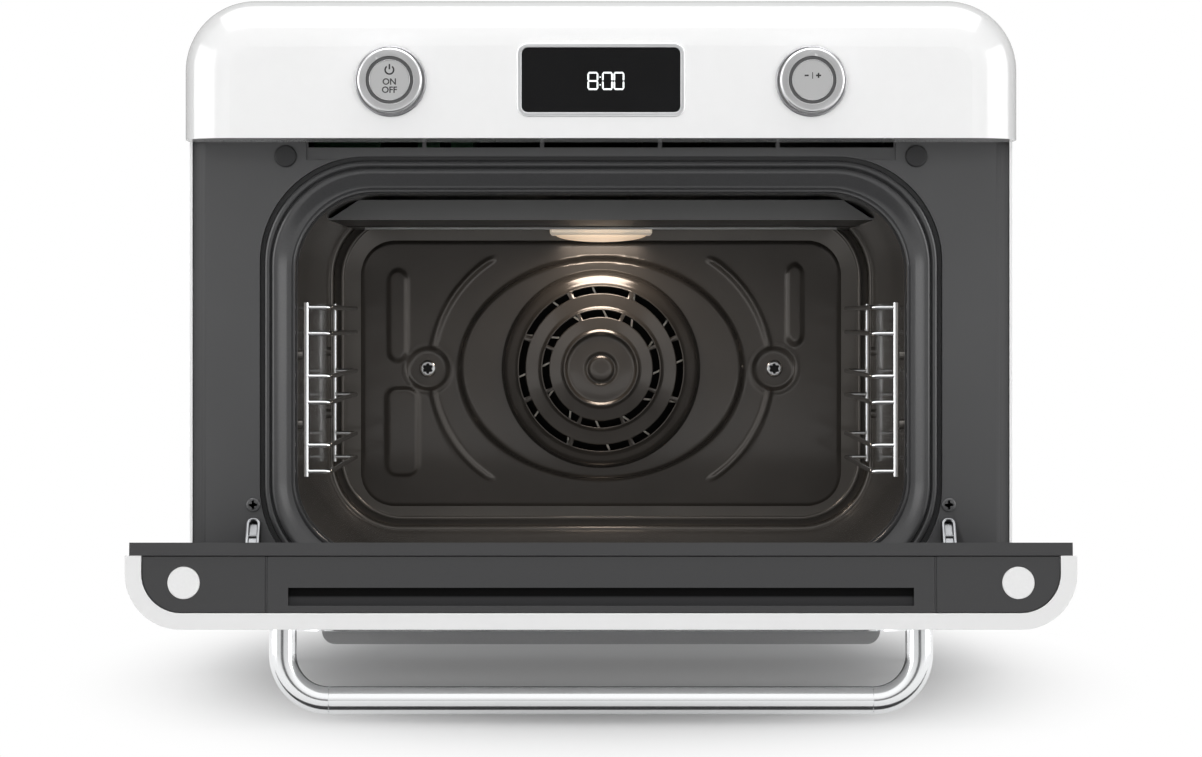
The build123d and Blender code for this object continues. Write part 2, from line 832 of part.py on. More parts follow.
# Rear baffle: pressed plate with an oval rise, a slotted dome over the fan and two screw dishes
baffle_front = liner_rear - baffle_plate
with BuildPart() as rear_baffle:
    with BuildSketch(facing(liner_rear)):
        upright_panel(baffle_half, baffle_low, baffle_high, baffle_corner)
    extrude(amount=baffle_plate)
    with BuildSketch(facing(liner_rear)):
        with Locations((0, fan_height)):
            Ellipse(oval_half_width, oval_half_height)
    extrude(amount=oval_rise + baffle_plate)
    rise_edges = faces().sort_by(Axis.Y)[0].edges()
    fillet(rise_edges, oval_rise / 2)
    with BuildSketch(facing(liner_rear)):
        with Locations((0, fan_height)):
            Ellipse(oval_half_width - 2 * baffle_plate, oval_half_height - 2 * baffle_plate)
    extrude(amount=oval_rise, mode=Mode.SUBTRACT)
    dome_base = liner_rear - oval_rise - baffle_plate
    with BuildSketch(Plane(origin=(0, dome_base, fan_height), x_dir=(1, 0, 0), z_dir=(0, 0, 1))):
        with BuildLine():
            Polyline(
                (0, baffle_plate),
                (dome_radius, baffle_plate),
                (dome_radius, 0),
                (dome_front_radius + baffle_plate, -dome_rise + baffle_plate),
                (dome_front_radius, -dome_rise),
                (boss_radius + boss_rise, -dome_rise - boss_rise / 2),
                (boss_radius, -dome_rise - boss_rise),
                (0, -dome_rise - boss_rise),
                close=True,
            )
        make_face()
    revolve(axis=Axis((0, dome_base, fan_height), (0, 1, 0)))
    with BuildSketch(Plane(origin=(0, dome_base, fan_height), x_dir=(1, 0, 0), z_dir=(0, 0, 1))):
        with BuildLine():
            Polyline(
                (0, baffle_plate),
                (dome_radius - baffle_plate, baffle_plate),
                (dome_front_radius - baffle_plate, -dome_rise + baffle_plate),
                (0, -dome_rise + baffle_plate),
                close=True,
            )
        make_face()
    revolve(axis=Axis((0, dome_base, fan_height), (0, 1, 0)), mode=Mode.SUBTRACT)
    for slot_ring in slot_ring_radii:
        with BuildSketch(facing(dome_base - dome_rise - boss_rise)):
            with Locations((0, fan_height)):
                Circle(slot_ring + slot_ring_width / 2)
                Circle(slot_ring - slot_ring_width / 2, mode=Mode.SUBTRACT)
                with PolarLocations(slot_ring, slot_ring_count):
                    Rectangle(2 * slot_ring_width, slot_rib, mode=Mode.SUBTRACT)
        extrude(amount=-(dome_rise + boss_rise), mode=Mode.SUBTRACT)
    with BuildSketch(facing(baffle_front)):
        with Locations((-dish_offset, fan_height), (dish_offset, fan_height)):
            Circle(dish_radius)
    extrude(amount=baffle_plate)
    with BuildSketch(facing(baffle_front - baffle_plate)):
        with Locations((-dish_offset, fan_height), (dish_offset, fan_height)):
            Circle(dish_radius - 2 * baffle_plate)
    extrude(amount=-baffle_plate, mode=Mode.SUBTRACT)
    with BuildSketch(facing(baffle_front)):
        with Locations((-dish_offset, fan_height), (dish_offset, fan_height)):
            Circle(screw_radius + run_gap)
    extrude(amount=-baffle_plate, mode=Mode.SUBTRACT)
rear_baffle.part.label = "rear_baffle"

with BuildPart() as baffle_screws:
    with BuildSketch(facing(baffle_front)):
        with Locations((-dish_offset, fan_height), (dish_offset, fan_height)):
            Circle(baffle_screw_head)
    extrude(amount=screw_head_height + baffle_plate)
    fillet(edges().filter_by(GeomType.CIRCLE).group_by(Axis.Y)[0], 1.0)
    with BuildSketch(facing(baffle_front)):
        with Locations((-dish_offset, fan_height), (dish_offset, fan_height)):
            Circle(screw_radius)
    extrude(amount=-(baffle_plate + 2 * liner_wall))
    with BuildSketch(facing(baffle_front - screw_head_height - baffle_plate)):
        with Locations((-dish_offset, fan_height), (dish_offset, fan_height)):
            RegularPolygon(baffle_screw_head / 2, 6)
    extrude(amount=-screw_head_height, mode=Mode.SUBTRACT)
baffle_screws.part.label = "baffle_screws"

# Ceiling plate with a turned-up front lip, let in under the cavity's roof
ceiling_y = frame_y + ceiling_front


def roof_half(z):
    """Half the cavity's width at height z, in the round of its upper corners."""
    over = z - (opening_high - opening_corner)
    return opening_half - opening_corner + sqrt(opening_corner**2 - over**2)


ceiling_half = roof_half(ceiling_plate_height + ceiling_plate_wall) - seat_gap
lip_top = ceiling_plate_height + ceiling_lip
lip_half = roof_half(lip_top) - seat_gap
with BuildPart() as ceiling_plate:
    with BuildSketch(level(ceiling_plate_height)):
        with Locations((0, (ceiling_y + liner_rear - cavity_round) / 2)):
            Rectangle(2 * ceiling_half, liner_rear - cavity_round - ceiling_y)
        with Locations((0, (grill_front + grill_rear) / 2 + frame_y)):
            with GridLocations(
                1.4 * ceiling_slot_length, 3 * ceiling_slot_width, 2, ceiling_slot_count
            ):
                SlotOverall(ceiling_slot_length, ceiling_slot_width, mode=Mode.SUBTRACT)
    extrude(amount=ceiling_plate_wall)
    with BuildSketch(facing(ceiling_y + ceiling_plate_wall)):
        with BuildLine():
            Polyline(
                (-ceiling_half, ceiling_plate_height),
                (ceiling_half, ceiling_plate_height),
                (lip_half, lip_top),
                (-lip_half, lip_top),
                close=True,
            )
        make_face()
    extrude(amount=ceiling_plate_wall)
ceiling_plate.part.label = "ceiling_plate"

lamp_y = liner_rear - lamp_from_rear - lamp_depth / 2
lamp_top = ceiling_plate_height
with BuildPart() as lamp_lens:
    with BuildSketch(level(lamp_top)):
        with Locations((0, lamp_y)):
            RectangleRounded(lamp_width, lamp_depth, lamp_corner)
    extrude(amount=-lamp_height)
    fillet(faces().sort_by(Axis.Z)[0].edges(), lamp_round)
    offset(amount=-lamp_wall, openings=faces().sort_by(Axis.Z)[-1])
lamp_lens.part.label = "lamp_lens"

with BuildPart() as lamp_bulb:
    with BuildSketch(beside(-bulb_length / 2)):
        with Locations((lamp_y, lamp_top - bulb_radius - seat_gap)):
            Circle(bulb_radius)
    extrude(amount=bulb_length)
lamp_bulb.part.label = "lamp_bulb"


def build_side_rack(side, hand):
    """Chromed wire rack: two posts joined by three pairs of bent rungs that carry a tray."""
    post_x = hand * rack_plane
    rung_x = hand * (rack_plane - rack_reach)
    front_y = frame_y + rack_front
    back_y = front_y + rack_length
    low = rack_levels[0] - rack_pair_height / 2
    high = rack_levels[-1] + rack_pair_height / 2
    with BuildPart() as rack:
        for middle in rack_levels:
            for z in (middle - rack_pair_height / 2, middle + rack_pair_height / 2):
                with BuildLine() as rung:
                    FilletPolyline(
                        (post_x, front_y, z), (rung_x, front_y, z), (rung_x, back_y, z), (post_x, back_y, z),
                        radius=rack_bend,
                    )
                with BuildSketch(Plane(origin=rung.line @ 0, z_dir=rung.line % 0)):
                    Circle(rack_wire)
                sweep(path=rung.line)
        for post_y in (front_y, back_y):
            with BuildSketch(level(low - rack_post_end)):
                with Locations((post_x, post_y)):
                    Circle(rack_post)
            extrude(amount=high - low + 2 * rack_post_end)
    rack.part.label = f"{side}_side_rack"
    return rack


side_racks = [build_side_rack("left", -1), build_side_rack("right", 1)]

# Ring heater round the fan, its two leads out through the back of the pocket
heater_y = (liner_rear + pocket_rear) / 2
with BuildPart() as ring_heater:
    with BuildSketch(Plane(origin=(0, heater_y, fan_height), x_dir=(1, 0, 0), z_dir=(0, 0, 1))):
        with Locations((ring_heater_radius, 0)):
            Circle(heater_tube)
    revolve(axis=Axis((0, heater_y, fan_height), (0, 1, 0)), revolution_arc=360)
    with BuildSketch(facing(heater_y)):
        with Locations((-heater_lead_offset, lead_height), (heater_lead_offset, lead_height)):
            Circle(heater_tube - seat_gap)
    extrude(amount=-(pocket_rear - heater_y + 4 * liner_wall))
ring_heater.part.label = "ring_heater"

with BuildPart() as grill_heater:
    with BuildLine() as grill_path:
        FilletPolyline(
            (-grill_lead_offset, liner_rear + 4 * liner_wall, grill_z),
            (-grill_lead_offset, frame_y + grill_front + 4 * grill_bend, grill_z),
            (-grill_half / 2, frame_y + grill_front + 4 * grill_bend, grill_z),
            (-grill_half / 2, frame_y + grill_rear, grill_z),
            (-grill_half, frame_y + grill_rear, grill_z),
            (-grill_half, frame_y + grill_front, grill_z),
            (grill_half, frame_y + grill_front, grill_z),
            (grill_half, frame_y + grill_rear, grill_z),
            (grill_half / 2, frame_y + grill_rear, grill_z),
            (grill_half / 2, frame_y + grill_front + 4 * grill_bend, grill_z),
            (grill_lead_offset, frame_y + grill_front + 4 * grill_bend, grill_z),
            (grill_lead_offset, liner_rear + 4 * liner_wall, grill_z),
            radius=grill_bend,
        )
    with BuildSketch(Plane(origin=grill_path.line @ 0, z_dir=grill_path.line % 0)):
        Circle(heater_tube)
    sweep(path=grill_path.line)
grill_heater.part.label = "grill_heater"

# Convection fan on its motor's shaft
fan_disc_y = pocket_rear - fan_back_gap
with BuildPart() as convection_fan:
    with BuildSketch(facing(fan_disc_y)):
        with Locations((0, fan_height)):
            Circle(fan_disc_radius)
    extrude(amount=fan_disc_wall)
    with BuildSketch(facing(fan_disc_y - fan_disc_wall)):
        blade_length = fan_disc_radius - fan_blade_inner
        with Locations((0, fan_height)):
            with PolarLocations((fan_disc_radius + fan_blade_inner) / 2, fan_blade_count):
                with Locations(Location((0, 0), fan_blade_angle)):
                    Rectangle(blade_length, fan_blade_wall)
    extrude(amount=fan_blade_height)
    with BuildSketch(facing(fan_disc_y)):
        with Locations((0, fan_height)):
            Circle(fan_hub_radius)
    extrude(amount=fan_blade_height)
    with BuildSketch(facing(fan_disc_y)):
        with Locations((0, fan_height)):
            Circle(fan_shaft_radius + run_gap)
    extrude(amount=fan_blade_height, mode=Mode.SUBTRACT)
convection_fan.part.label = "convection_fan"

motor_front = pocket_rear + liner_wall + 2 * seat_gap
with BuildPart() as fan_shaft:
    with BuildSketch(facing(motor_front + motor_length / 2)):
        with Locations((0, fan_height)):
            Circle(fan_shaft_radius)
    extrude(amount=motor_front + motor_length / 2 - fan_disc_y + fan_blade_height)
fan_shaft.part.label = "fan_shaft"

with BuildPart() as fan_motor:
    with BuildSketch(facing(motor_front + motor_length)):
        with Locations((0, fan_height)):
            Circle(motor_radius)
    extrude(amount=motor_length - 2 * seat_gap)
    with BuildSketch(facing(motor_front + motor_length)):
        with Locations((0, fan_height)):
            Rectangle(2 * motor_strap_reach, motor_strap)
            Circle(motor_radius - 1, mode=Mode.SUBTRACT)
    extrude(amount=motor_length)
    with BuildSketch(facing(motor_front)):
        with Locations((0, fan_height)):
            Circle(fan_shaft_radius + run_gap)
    extrude(amount=-(motor_length / 2 + seat_gap), mode=Mode.SUBTRACT)
fan_motor.part.label = "fan_motor"

# Blanket round the cavity and the deck over it
with BuildPart() as insulation_blanket:
    with BuildSketch(facing(liner_front + seat_gap)):
        opening_outline(liner_wall + seat_gap + insulation_thickness)
        opening_outline(liner_wall + seat_gap, mode=Mode.SUBTRACT)
    extrude(amount=-(liner_rear - liner_front - cavity_round))
insulation_blanket.part.label = "insulation_blanket"

hose_y = steam_y - hose_offset
hose_x = boiler_x + hose_offset / 2
with BuildPart() as inner_deck:
    with BuildSketch(level(deck_z)):
        with Locations((0, (liner_front + flange_front) / 2)):
            Rectangle(2 * (side_inner - seat_gap), flange_front - liner_front - 2 * seat_gap)
        with Locations((hose_x, hose_y)):
            Circle(2 * hose_radius, mode=Mode.SUBTRACT)
    extrude(amount=deck_wall)
inner_deck.part.label = "inner_deck"

power_y = frame_y + power_board_from_front
with BuildPart() as power_board:
    with BuildSketch(level(deck_top + board_post_height)):
        with Locations((power_board_x, power_y)):
            Rectangle(power_board_width, power_board_depth)
    extrude(amount=board_thickness)
    with BuildSketch(level(deck_top)):
        with Locations((power_board_x, power_y)):
            with GridLocations(
                power_board_width - 2 * board_post_inset, power_board_depth - 2 * board_post_inset, 2, 2
            ):
                Circle(post_radius)
    extrude(amount=board_post_height)
    with BuildSketch(level(deck_top + board_post_height + board_thickness)):
        with Locations((power_board_x - transformer_size / 2, power_y)):
            Rectangle(transformer_size, transformer_size)
    extrude(amount=transformer_height)
    with BuildSketch(level(deck_top + board_post_height + board_thickness)):
        with Locations((power_board_x + transformer_size, power_y)):
            with GridLocations(1.5 * capacitor_width, 1.2 * capacitor_depth, 2, 3):
                Rectangle(capacitor_width, capacitor_depth)
    extrude(amount=capacitor_height)
power_board.part.label = "power_board"

# Cross-flow blower that cools the electronics and blows out under the control panel
blower_y = cover_y - blower_from_rear
blower_clear = blower_radius + blower_room
blower_z = deck_top + blower_wall + blower_clear
blower_left = blower_x - blower_length / 2
with BuildPart() as blower_housing:
    with BuildSketch(beside(blower_left)):
        with Locations((blower_y, blower_z)):
            Rectangle(2 * (blower_clear + blower_wall), 2 * (blower_clear + blower_wall))
    extrude(amount=blower_length)
    with BuildSketch(beside(blower_left + blower_wall)):
        with Locations((blower_y, blower_z)):
            Circle(blower_clear)
        with Locations((blower_y - blower_clear, blower_z)):
            Rectangle(2 * blower_clear, blower_clear)
    extrude(amount=blower_length - 2 * blower_wall, mode=Mode.SUBTRACT)
    with BuildSketch(beside(blower_left)):
        with Locations((blower_y, blower_z)):
            Circle(blower_shaft_radius + run_gap)
    extrude(amount=blower_length, mode=Mode.SUBTRACT)
    with BuildSketch(level(blower_z + blower_clear + 2 * blower_wall)):
        with Locations((blower_x, blower_y)):
            Rectangle(blower_length - blower_clear, blower_clear)
    extrude(amount=-blower_clear, mode=Mode.SUBTRACT)
blower_housing.part.label = "blower_housing"

with BuildPart() as blower_rotor:
    with BuildSketch(beside(blower_left + 2 * blower_wall)):
        with Locations((blower_y, blower_z)):
            Circle(blower_radius)
    extrude(amount=blower_wall)
    with BuildSketch(beside(blower_left + blower_length - 3 * blower_wall)):
        with Locations((blower_y, blower_z)):
            Circle(blower_radius)
    extrude(amount=blower_wall)
    with BuildSketch(beside(blower_left + 2 * blower_wall)):
        with Locations((blower_y, blower_z)):
            with PolarLocations(blower_radius - 0.7 * blower_blade_depth, blower_blade_count):
                with Locations(Location((0, 0), blower_blade_angle)):
                    Rectangle(blower_blade_depth, blower_wall)
    extrude(amount=blower_length - 4 * blower_wall)
    with BuildSketch(beside(blower_left)):
        with Locations((blower_y, blower_z)):
            Circle(blower_shaft_radius)
    extrude(amount=blower_length)
blower_rotor.part.label = "blower_rotor"

# Water tank in its bay under the casing's top, with a flap over the filling hole
bay_floor = deck_top
tank_bottom = overall_height - tank_height
with BuildPart() as tank_bay:
    with BuildSketch(level(bay_floor)):
        with Locations((tank_x, tank_y)):
            RectangleRounded(
                tank_width + 2 * (slide_gap + bay_wall),
                tank_length + 2 * (slide_gap + bay_wall),
                tank_corner + slide_gap + bay_wall,
            )
    extrude(amount=overall_height - tank_top - slide_gap - bay_floor)
    with BuildSketch(level(overall_height - tank_top - slide_gap)):
        with Locations((tank_x, tank_y)):
            RectangleRounded(well_width - 2 * seat_gap, well_length - 2 * seat_gap, well_corner - seat_gap)
    extrude(amount=-bay_wall)
    with BuildSketch(level(overall_height - tank_top)):
        with Locations((tank_x, tank_y)):
            RectangleRounded(
                tank_width + 2 * slide_gap, tank_length + 2 * slide_gap, tank_corner + slide_gap
            )
    extrude(amount=-(tank_height - tank_top + seat_gap), mode=Mode.SUBTRACT)
tank_bay.part.label = "tank_bay"

fill_y = tank_y + tank_length / 2 - flap_length / 2 - 2 * tank_flange
grip_y = tank_y - tank_length / 2 + grip_length / 2 + tank_flange
knuckle_y = fill_y + flap_length / 2
flap_z = overall_height - flap_wall
with BuildPart() as water_tank:
    with BuildSketch(level(tank_bottom)):
        with Locations((tank_x, tank_y)):
            RectangleRounded(tank_width, tank_length, tank_corner)
    extrude(amount=tank_height - tank_top)
    with BuildSketch(level(tank_bottom + tank_wall)):
        with Locations((tank_x, tank_y)):
            RectangleRounded(
                tank_width - 2 * tank_wall, tank_length - 2 * tank_wall, tank_corner - tank_wall
            )
    extrude(amount=tank_height - tank_top - 2 * tank_wall, mode=Mode.SUBTRACT)
    with BuildSketch(level(overall_height - tank_top)):
        with Locations((tank_x, tank_y)):
            RectangleRounded(
                tank_width + 2 * tank_flange, tank_length + 2 * tank_flange, tank_corner + tank_flange
            )
    extrude(amount=tank_top)
    with BuildSketch(level(overall_height)):
        with Locations((tank_x, grip_y)):
            SlotOverall(grip_width + 2 * tank_wall, grip_length + 2 * tank_wall)
    extrude(amount=-(grip_depth + tank_wall))
    with BuildSketch(level(overall_height)):
        with Locations((tank_x, grip_y)):
            SlotOverall(grip_width, grip_length)
    extrude(amount=-grip_depth, mode=Mode.SUBTRACT)
    with BuildSketch(level(overall_height)):
        with Locations((tank_x, fill_y)):
            RectangleRounded(
                flap_width + 2 * slide_gap, flap_length + 2 * slide_gap, flap_corner + slide_gap
            )
        with Locations((tank_x, knuckle_y)):
            Rectangle(flap_width + 2 * slide_gap, 2 * flap_room)
    extrude(amount=-(flap_wall + seat_gap), mode=Mode.SUBTRACT)
    with BuildSketch(level(overall_height - flap_wall - seat_gap)):
        with Locations((tank_x, fill_y)):
            Rectangle(flap_width + 2 * tank_wall, flap_length + 2 * tank_wall)
            Circle(fill_hole_radius, mode=Mode.SUBTRACT)
        with Locations((tank_x, knuckle_y)):
            Rectangle(flap_width + 2 * tank_wall, 2 * flap_room + 2 * tank_wall)
    extrude(amount=-tank_wall)
    with BuildSketch(level(overall_height - flap_wall)):
        with Locations((tank_x, fill_y)):
            Circle(fill_hole_radius)
    extrude(amount=-4 * tank_wall, mode=Mode.SUBTRACT)
    with BuildSketch(beside(tank_x - flap_width / 2 - slide_gap - flap_pin_length)):
        with Locations((knuckle_y, overall_height - flap_wall / 2)):
            Circle(flap_pin + run_gap)
    extrude(amount=flap_width + 2 * slide_gap + 2 * flap_pin_length, mode=Mode.SUBTRACT)
water_tank.part.label = "water_tank"

with BuildPart() as fill_flap:
    with BuildSketch(level(flap_z)):
        with Locations((tank_x, fill_y)):
            Rectangle(flap_width, flap_length)
    extrude(amount=flap_wall)
    fillet(edges().filter_by(Axis.Z).group_by(Axis.Y)[0], flap_corner)
    with BuildSketch(level(flap_z)):
        with Locations((tank_x, fill_y - flap_length / 2)):
            Circle(flap_notch)
    extrude(amount=flap_wall, mode=Mode.SUBTRACT)
    with BuildSketch(beside(tank_x - flap_width / 2)):
        with Locations((knuckle_y, overall_height - flap_wall / 2)):
            Circle(flap_wall / 2)
    extrude(amount=flap_width)
    with BuildSketch(beside(tank_x - flap_width / 2 - flap_pin_length)):
        with Locations((knuckle_y, overall_height - flap_wall / 2)):
            Circle(flap_pin)
    extrude(amount=flap_width + 2 * flap_pin_length)
fill_flap.part.label = "fill_flap"

# Boiler, pump and pipes
with BuildPart() as steam_boiler:
    with BuildSketch(level(pan_top)):
        with Locations((boiler_x, steam_y)):
            Circle(boiler_radius)
    extrude(amount=boiler_height)
    fillet(faces().sort_by(Axis.Z)[-1].edges(), boiler_round)
steam_boiler.part.label = "steam_boiler"

boiler_top = pan_top + boiler_height
with BuildPart() as steam_pipe:
    with BuildLine() as pipe_path:
        FilletPolyline(
            (boiler_x, steam_y, boiler_top),
            (boiler_x, steam_y, steam_z),
            (fan_pocket_half - 4 * liner_wall, steam_y, steam_z),
            radius=pipe_bend,
        )
    with BuildSketch(Plane(origin=pipe_path.line @ 0, z_dir=pipe_path.line % 0)):
        Circle(pipe_radius)
        Circle(pipe_radius - pipe_wall, mode=Mode.SUBTRACT)
    sweep(path=pipe_path.line)
steam_pipe.part.label = "steam_pipe"

pump_x = side_inner - pump_from_side
pump_y = hose_y + hose_radius
with BuildPart() as water_pump:
    with BuildSketch(level(deck_top)):
        with Locations((pump_x, pump_y)):
            RectangleRounded(pump_width, pump_depth, pump_corner)
    extrude(amount=pump_height)
    with BuildSketch(level(deck_top)):
        with Locations((hose_x, hose_y)):
            Circle(spigot_radius)
    extrude(amount=-3 * deck_wall)
water_pump.part.label = "water_pump"

with BuildPart() as water_hose:
    with BuildSketch(level(boiler_top)):
        with Locations((hose_x, hose_y)):
            Circle(hose_radius)
            Circle(spigot_radius + run_gap, mode=Mode.SUBTRACT)
    extrude(amount=deck_z - boiler_top - 2 * seat_gap)
water_hose.part.label = "water_hose"

# Back of the casing
cover_half = side_inner - seat_gap
cover_top = overall_height - wrapper_wall - seat_gap
with BuildPart() as rear_cover:
    with BuildSketch(facing(cover_y)):
        casing_outline(cover_half, base_z + seat_gap, cover_top, casing_corner - wrapper_wall - seat_gap)
    extrude(amount=rear_cover_wall)
    with BuildSketch(facing(cover_y)):
        with Locations((-cover_half / 2, fan_height), (cover_half / 2, fan_height)):
            with GridLocations(rear_slot_length, rear_slot_pitch, 1, rear_slot_count):
                SlotOverall(rear_slot_length, rear_slot_width)
        with Locations((blower_x, blower_z)):
            with GridLocations(rear_slot_length, rear_slot_pitch, 1, 3):
                SlotOverall(rear_slot_length, rear_slot_width)
        with Locations((gland_x, gland_height)):
            Circle(gland_collar)
        for screw_z in rear_screw_levels:
            with Locations((-rear_screw_offset, screw_z), (rear_screw_offset, screw_z)):
                Circle(screw_radius + run_gap)
    extrude(amount=rear_cover_wall, mode=Mode.SUBTRACT)
rear_cover.part.label = "rear_cover"

with BuildPart() as cable_gland:
    with BuildSketch(facing(cover_y)):
        with Locations((gland_x, gland_height)):
            Circle(gland_radius)
    extrude(amount=-rear_gap, taper=12)
    with BuildSketch(facing(cover_y)):
        with Locations((gland_x, gland_height)):
            Circle(gland_collar - seat_gap)
    extrude(amount=3 * rear_cover_wall)
    with BuildSketch(facing(cover_y + rear_gap)):
        with Locations((gland_x, gland_height)):
            Circle(gland_bore)
    extrude(amount=rear_gap + 3 * rear_cover_wall, mode=Mode.SUBTRACT)
cable_gland.part.label = "cable_gland"

# Screws: two at the front of the frame, four in the rear cover
with BuildPart() as casing_screws:
    with BuildSketch(facing(frame_y)):
        with Locations((-frame_screw_offset, frame_screw_height), (frame_screw_offset, frame_screw_height)):
            Circle(screw_head_radius)
    extrude(amount=screw_head_height)
    with BuildSketch(facing(frame_y)):
        with Locations((-frame_screw_offset, frame_screw_height), (frame_screw_offset, frame_screw_height)):
            Circle(screw_radius)
    extrude(amount=-screw_length)
    for screw_z in rear_screw_levels:
        with BuildSketch(facing(cover_y)):
            with Locations((-rear_screw_offset, screw_z), (rear_screw_offset, screw_z)):
                Circle(screw_head_radius)
        extrude(amount=-screw_head_height)
        with BuildSketch(facing(cover_y)):
            with Locations((-rear_screw_offset, screw_z), (rear_screw_offset, screw_z)):
                Circle(screw_radius)
        extrude(amount=screw_length)
    head_edges = edges().filter_by(lambda edge: abs(edge.length - 6.2832 * screw_head_radius) < 0.1)
    fillet(head_edges.group_by(Axis.Y)[0], 0.8)
casing_screws.part.label = "casing_screws"

# Base pan with turned-up lips and, welded under it, the rails that carry the drip tray
tray_top = base_z - slide_gap
flange_top = base_z - 2 * slide_gap - seat_gap
flange_low = flange_top - tray_wall
rail_inner = tray_body_half + tray_flange + slide_gap
with BuildPart() as base_pan:
    with BuildSketch(level(base_z)):
        with Locations((0, (panel_rear + flange_front) / 2)):
            Rectangle(2 * (side_inner - seat_gap), flange_front - panel_rear - 2 * seat_gap)
    extrude(amount=pan_lip)
    with BuildSketch(level(pan_top)):
        with Locations((0, (panel_rear + flange_front) / 2)):
            Rectangle(
                2 * (side_inner - seat_gap - pan_wall),
                flange_front - panel_rear - 2 * seat_gap - 2 * pan_wall,
            )
    extrude(amount=pan_lip, mode=Mode.SUBTRACT)
    for rail_hand in (-1, 1):
        with BuildSketch(facing(frame_y + 2 * tray_front_wall)):
            with Locations((rail_hand * (rail_inner + rail_wall / 2), base_z + pan_wall / 2)):
                Rectangle(
                    rail_wall,
                    base_z + pan_wall / 2 - flange_low + seat_gap + rail_wall,
                    align=(Align.CENTER, Align.MAX),
                )
            with Locations((rail_hand * (rail_inner + rail_wall - rail_ledge / 2), flange_low - seat_gap)):
                Rectangle(rail_ledge, rail_wall, align=(Align.CENTER, Align.MAX))
        extrude(amount=-tray_depth)
base_pan.part.label = "base_pan"

with BuildPart() as feet:
    for foot_y in (frame_y + foot_front, frame_y + foot_rear):
        with BuildSketch(level(0)):
            with Locations((-foot_offset, foot_y), (foot_offset, foot_y)):
                Circle(foot_radius)
        extrude(amount=base_z, taper=3)
    with BuildSketch(level(0)):
        for foot_y in (frame_y + foot_front, frame_y + foot_rear):
            with Locations((-foot_offset, foot_y), (foot_offset, foot_y)):
                Circle(foot_screw_radius)
    extrude(amount=foot_recess, mode=Mode.SUBTRACT)
feet.part.label = "feet"

with BuildPart() as drip_tray:
    with BuildSketch(facing(frame_y + tray_front_wall)):
        with Locations((0, (tray_bottom + tray_top) / 2)):
            Rectangle(2 * tray_half, tray_top - tray_bottom)
    extrude(amount=tray_front_wall)
    fillet(edges().filter_by(Axis.Y).group_by(Axis.Z)[0], tray_front_corner)
    with BuildSketch(level(tray_bottom + seat_gap)):
        with Locations((0, frame_y + tray_front_wall)):
            Rectangle(2 * tray_body_half, tray_depth - tray_front_wall, align=(Align.CENTER, Align.MIN))
    extrude(amount=flange_top - tray_bottom - seat_gap)
    with BuildSketch(level(flange_low)):
        with Locations((0, frame_y + tray_front_wall)):
            Rectangle(
                2 * (tray_body_half + tray_flange),
                tray_depth - tray_front_wall,
                align=(Align.CENTER, Align.MIN),
            )
    extrude(amount=tray_wall)
    with BuildSketch(level(tray_bottom + seat_gap + tray_wall)):
        with Locations((0, frame_y + tray_front_wall)):
            Rectangle(
                2 * (tray_body_half - tray_wall),
                tray_depth - tray_front_wall - tray_wall,
                align=(Align.CENTER, Align.MIN),
            )
    extrude(amount=base_z, mode=Mode.SUBTRACT)
drip_tray.part.label = "drip_tray"


def door_profile():
    """The door's thickness along its height: round where it swings past the frame and the tray."""
    inner_start = inner_out + heel_inner_round
    outer_start = outer_out - heel_outer_round
    with BuildLine(mode=Mode.PRIVATE) as profile:
        Line((door_top, inner_out), (heel_inner_round - door_heel, inner_out))
        CenterArc((heel_inner_round - door_heel, inner_start), heel_inner_round, 180, 90)
        Line((-door_heel, inner_start), (-door_heel, outer_start))
        CenterArc((heel_outer_round - door_heel, outer_start), heel_outer_round, 90, 90)
        Line((heel_outer_round - door_heel, outer_out), (door_top, outer_out))
        Line((door_top, outer_out), (door_top, inner_out))
    add(profile.line)
    make_face()


def door_panel(half, low, high, corner, mode=Mode.ADD):
    """Rounded rectangle on the door, from low to high along the door's height."""
    with Locations((0, (low + high) / 2)):
        RectangleRounded(2 * half, high - low, corner, mode=mode)


